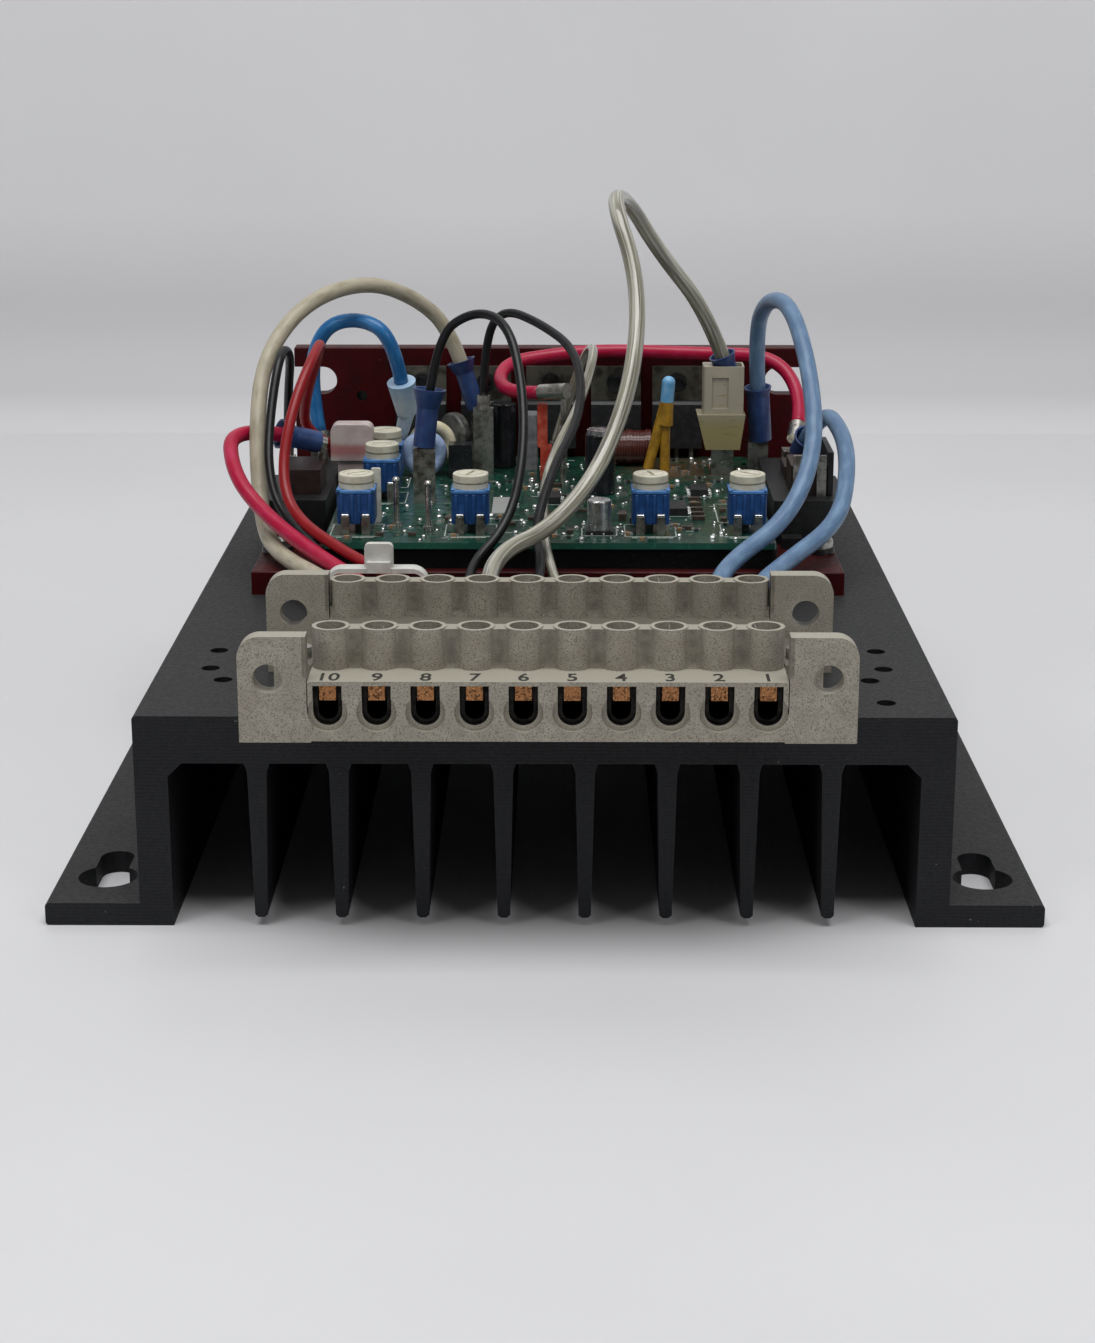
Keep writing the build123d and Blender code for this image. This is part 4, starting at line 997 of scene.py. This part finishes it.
def evened(line, step):
    """The same line with its places at even distances."""
    gone = [0.0]
    for a, b in zip(line, line[1:]):
        gone.append(gone[-1] + (b - a).length)
    count = max(8, round(gone[-1] / step))
    places = []
    k = 0
    for n in range(count + 1):
        want = gone[-1] * n / count
        while k < len(line) - 2 and gone[k + 1] < want:
            k += 1
        span = gone[k + 1] - gone[k]
        places.append(line[k].lerp(line[k + 1], (want - gone[k]) / span if span > 0 else 0.0))
    return places, gone[-1]


def tube(name, line, radius, sides):
    """A round tube along a line, closed at both ends, with its own map: round it and along it."""
    bm = bmesh.new()
    layer = bm.loops.layers.uv.new("along")
    side = (line[1] - line[0]).normalized().orthogonal().normalized()
    rows = []
    distances = [0.0]
    for k, place in enumerate(line):
        ahead = (line[min(k + 1, len(line) - 1)] - line[max(k - 1, 0)]).normalized()
        side = (side - ahead * side.dot(ahead)).normalized()
        rows.append(ring(bm, place, radius, sides, side, ahead.cross(side)))
        if k:
            distances.append(distances[-1] + (place - line[k - 1]).length)
    for k in range(len(rows) - 1):
        for j, face in enumerate(walls(bm, rows[k], rows[k + 1])):
            corners = ((j, k), (j + 1, k), (j + 1, k + 1), (j, k + 1))
            for loop, (around, step) in zip(face.loops, corners):
                loop[layer].uv = (around / sides, distances[step] / (2 * math.pi * radius))
    bm.faces.new(rows[0][::-1])
    bm.faces.new(rows[-1])
    mesh = bpy.data.meshes.new(name)
    bm.to_mesh(mesh)
    bm.free()
    for face in mesh.polygons:
        face.use_smooth = len(face.vertices) == 4
    return mesh


class CONTROLLER_OT_leads(Operator):
    """Draws the leads, each from its clamp in the strip to its crimp."""

    bl_idname = "controller.leads"
    bl_label = "Leads"

    def execute(self, context):
        leads = context.scene.controller_leads
        finishes = {
            "cream": vinyl("cream_vinyl", "aea692", "978f7a", 0.45, 0.1),
            "crimson": vinyl("crimson_vinyl", "a60a36", "b02048", 0.4, 0.15),
            "black": vinyl("black_vinyl", "090a0c", "131518", 0.42, 0.15),
            "red": vinyl("red_vinyl", "860a12", "90161d", 0.42, 0.15),
            "bright_blue": vinyl("bright_blue_vinyl", "1a5f96", "2f75ad", 0.38, 0.25),
            "pale_blue": vinyl("pale_blue_vinyl", "5c7796", "6f8ca9", 0.42, 0.12),
            "clear": clear_over_strands("clear_vinyl_over_strands", "8d8a78", "6b685b", "b3b1a4"),
        }
        for name, (diameter, finish, route) in LEADS.items():
            line, length = evened(centreline(route), leads.step)
            mesh = tube(name + "_lead", line, diameter / 2 * MM, leads.tube_sides)
            lead = piece(name + "_lead", mesh, finishes[finish])
            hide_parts(name)
        return {"FINISHED"}


class CONTROLLER_OT_lead_ends(Operator):
    """Finishes the crimp sleeves, housings, boot and cable tie."""

    bl_idname = "controller.lead_ends"
    bl_label = "Sleeves and housings"

    def execute(self, context):
        dress(plain_plastic("blue_vinyl_sleeve", "22396a", "2f4a7c", 0.4, 2.0, 0.06,
                            Subsurface_Weight=0.15, Subsurface_Scale=0.002), "crimp_sleeves")
        nylon = Finish("yellowed_nylon", "a8a18e", 0.42)
        height = add(nylon.tree, "ShaderNodeSeparateXYZ", {0: nylon.place}).outputs["Z"]
        nylon.turn("a2966a", height, TOP + 31.5 * MM, TOP + 27.0 * MM)
        nylon.blotch("8f8350", 2.2, 0.62, 0.7, stretch=(0.4, 0.4, 2.5))
        dress(nylon.embossed(1.6, 0.06), "nylon_housing")
        dress(banded("milky_vinyl_over_red", "cdbfba", "b9a8a4", "b5605f", 22.9, 25.9), "clear_housing")
        dress(banded("milky_blue_vinyl", "b4c6d4", "cbd8e0", "8fb0cf", 36.0, 44.0), "clear_boot")
        dress(plain_plastic("natural_nylon_tie", "d2d1cb", "bdbcb6", 0.4, 2.0), "cable_tie")
        return {"FINISHED"}


# Stage

def sheet_and_wall(stage):
    """A pale floor, and a wall that turns up out of it and is seen through from behind."""
    foot = stage.wall_distance - WALL_TURN
    turns = [math.pi / 2 * k / 8 for k in range(9)]
    profile = [(foot + WALL_TURN * math.sin(turn), WALL_TURN * (1 - math.cos(turn))) for turn in turns]
    profile.append((stage.wall_distance, WALL_HEIGHT))
    bm = bmesh.new()
    corners = ((-1, -1), (1, -1), (1, 1), (-1, 1))
    bm.faces.new([bm.verts.new((x * SHEET_REACH, y * SHEET_REACH, 0.0)) for x, y in corners])
    left, right = ([bm.verts.new((x, y, z)) for y, z in profile] for x in (-SHEET_REACH, SHEET_REACH))
    for k in range(len(profile) - 1):
        face = bm.faces.new((left[k], right[k], right[k + 1], left[k + 1]))
        face.material_index = 1
        face.smooth = True
    mesh = bpy.data.meshes.new("backdrop")
    bm.to_mesh(mesh)
    bm.free()
    for name, base in (("floor_sheet", stage.floor), ("wall_sheet", stage.wall)):
        sheet = Finish(name, base, 0.6)
        sheet.blotch(tuple(v * 0.97 for v in base), 160, 0.4, 0.6)
        if name == "wall_sheet":
            height = add(sheet.tree, "ShaderNodeSeparateXYZ", {0: sheet.place}).outputs["Z"]
            # Painted shade: the wall darkens towards its foot, and at the very foot takes the floor's colour
            sheet.turn("c0bfc1", height, 0.09, 0.02)
            sheet.turn(stage.floor, height, 0.012, 0.0)
            behind = add(sheet.tree, "ShaderNodeNewGeometry").outputs["Backfacing"]
            seen = add(sheet.tree, "ShaderNodeMixShader",
                       {0: behind, 1: sheet.shader, 2: add(sheet.tree, "ShaderNodeBsdfTransparent")})
            sheet.tree.links.new(seen.outputs[0], sheet.tree.nodes["Material Output"].inputs["Surface"])
        mesh.materials.append(sheet.done())
    placed("backdrop", mesh)


def lamp(name, place, target, size, power):
    """A soft square lamp aimed at a point."""
    light = bpy.data.lights.new(name, "AREA")
    light.shape = "RECTANGLE"
    light.size, light.size_y = size
    light.energy = power
    holder = placed(name, light)
    holder.location = place
    holder.rotation_euler = (Vector(target) - Vector(place)).to_track_quat("-Z", "Y").to_euler()


class CONTROLLER_OT_stage(Operator):
    """Sets up the floor, wall, lamps and the camera at the photograph's angle."""

    bl_idname = "controller.stage"
    bl_label = "Stage"

    def execute(self, context):
        sheet_and_wall(context.scene.controller_stage)
        lamp("ceiling_lamp", (0.0, -0.35, 1.5), (0.0, 0.0, 0.0), (1.3, 0.9), 20.0)
        for side in (-1, 1):
            lamp("window_lamp", (side * 1.05, -1.0, 0.8), (0.0, 0.0, 0.02), (0.5, 0.5), 3.0)
        world = bpy.data.worlds.new("soft_room")
        world.use_nodes = True
        background = world.node_tree.nodes["Background"].inputs
        background["Color"].default_value = (*linear("c8c9cc"), 1.0)
        background["Strength"].default_value = 0.2
        context.scene.world = world
        lens = bpy.data.cameras.new("camera")
        lens.sensor_fit = "VERTICAL"
        lens.sensor_height = CAMERA_SENSOR
        lens.lens = CAMERA_LENS
        lens.clip_start = 0.01
        camera = placed("camera", lens)
        camera.location = CAMERA_PLACE
        camera.rotation_euler = (math.radians(CAMERA_PITCH), 0.0, math.radians(CAMERA_TURN))
        context.scene.camera = camera
        context.scene.view_settings.view_transform = "Standard"
        return {"FINISHED"}


class CONTROLLER_PT_sidebar(Panel):
    """The controller's sizes, colours and steps."""

    bl_label = "Motor speed controller"
    bl_idname = "CONTROLLER_PT_sidebar"
    bl_space_type = "VIEW_3D"
    bl_region_type = "UI"
    bl_category = "Controller"

    def draw(self, context):
        for holder, _, steps in LAYOUT:
            settings = getattr(context.scene, holder)
            for key in settings.bl_rna.properties.keys():
                if key not in ("rna_type", "name"):
                    self.layout.prop(settings, key)
            for step in steps:
                self.layout.operator(step.bl_idname)


LAYOUT = (
    ("controller_metal", MetalSettings, (CONTROLLER_OT_metalwork,)),
    ("controller_strip", StripSettings, (CONTROLLER_OT_terminal_strip,)),
    ("controller_board", BoardSettings,
     (CONTROLLER_OT_board, CONTROLLER_OT_trimmers, CONTROLLER_OT_components)),
    ("controller_leads", LeadSettings, (CONTROLLER_OT_leads, CONTROLLER_OT_lead_ends)),
    ("controller_stage", StageSettings, (CONTROLLER_OT_stage,)),
)
OPERATORS = [step for _, _, steps in LAYOUT for step in steps]
CLASSES = (*(group for _, group, _ in LAYOUT), *OPERATORS, CONTROLLER_PT_sidebar)


def register():
    for made in CLASSES:
        bpy.utils.register_class(made)
    for holder, group, _ in LAYOUT:
        setattr(bpy.types.Scene, holder, PointerProperty(type=group))


def unregister():
    for holder, _, _ in LAYOUT:
        delattr(bpy.types.Scene, holder)
    for made in reversed(CLASSES):
        bpy.utils.unregister_class(made)


def main():
    """Makes everything in order."""
    register()
    for step in OPERATORS:
        group, name = step.bl_idname.split(".")
        getattr(getattr(bpy.ops, group), name)()


if __name__ == "__main__":
    main()
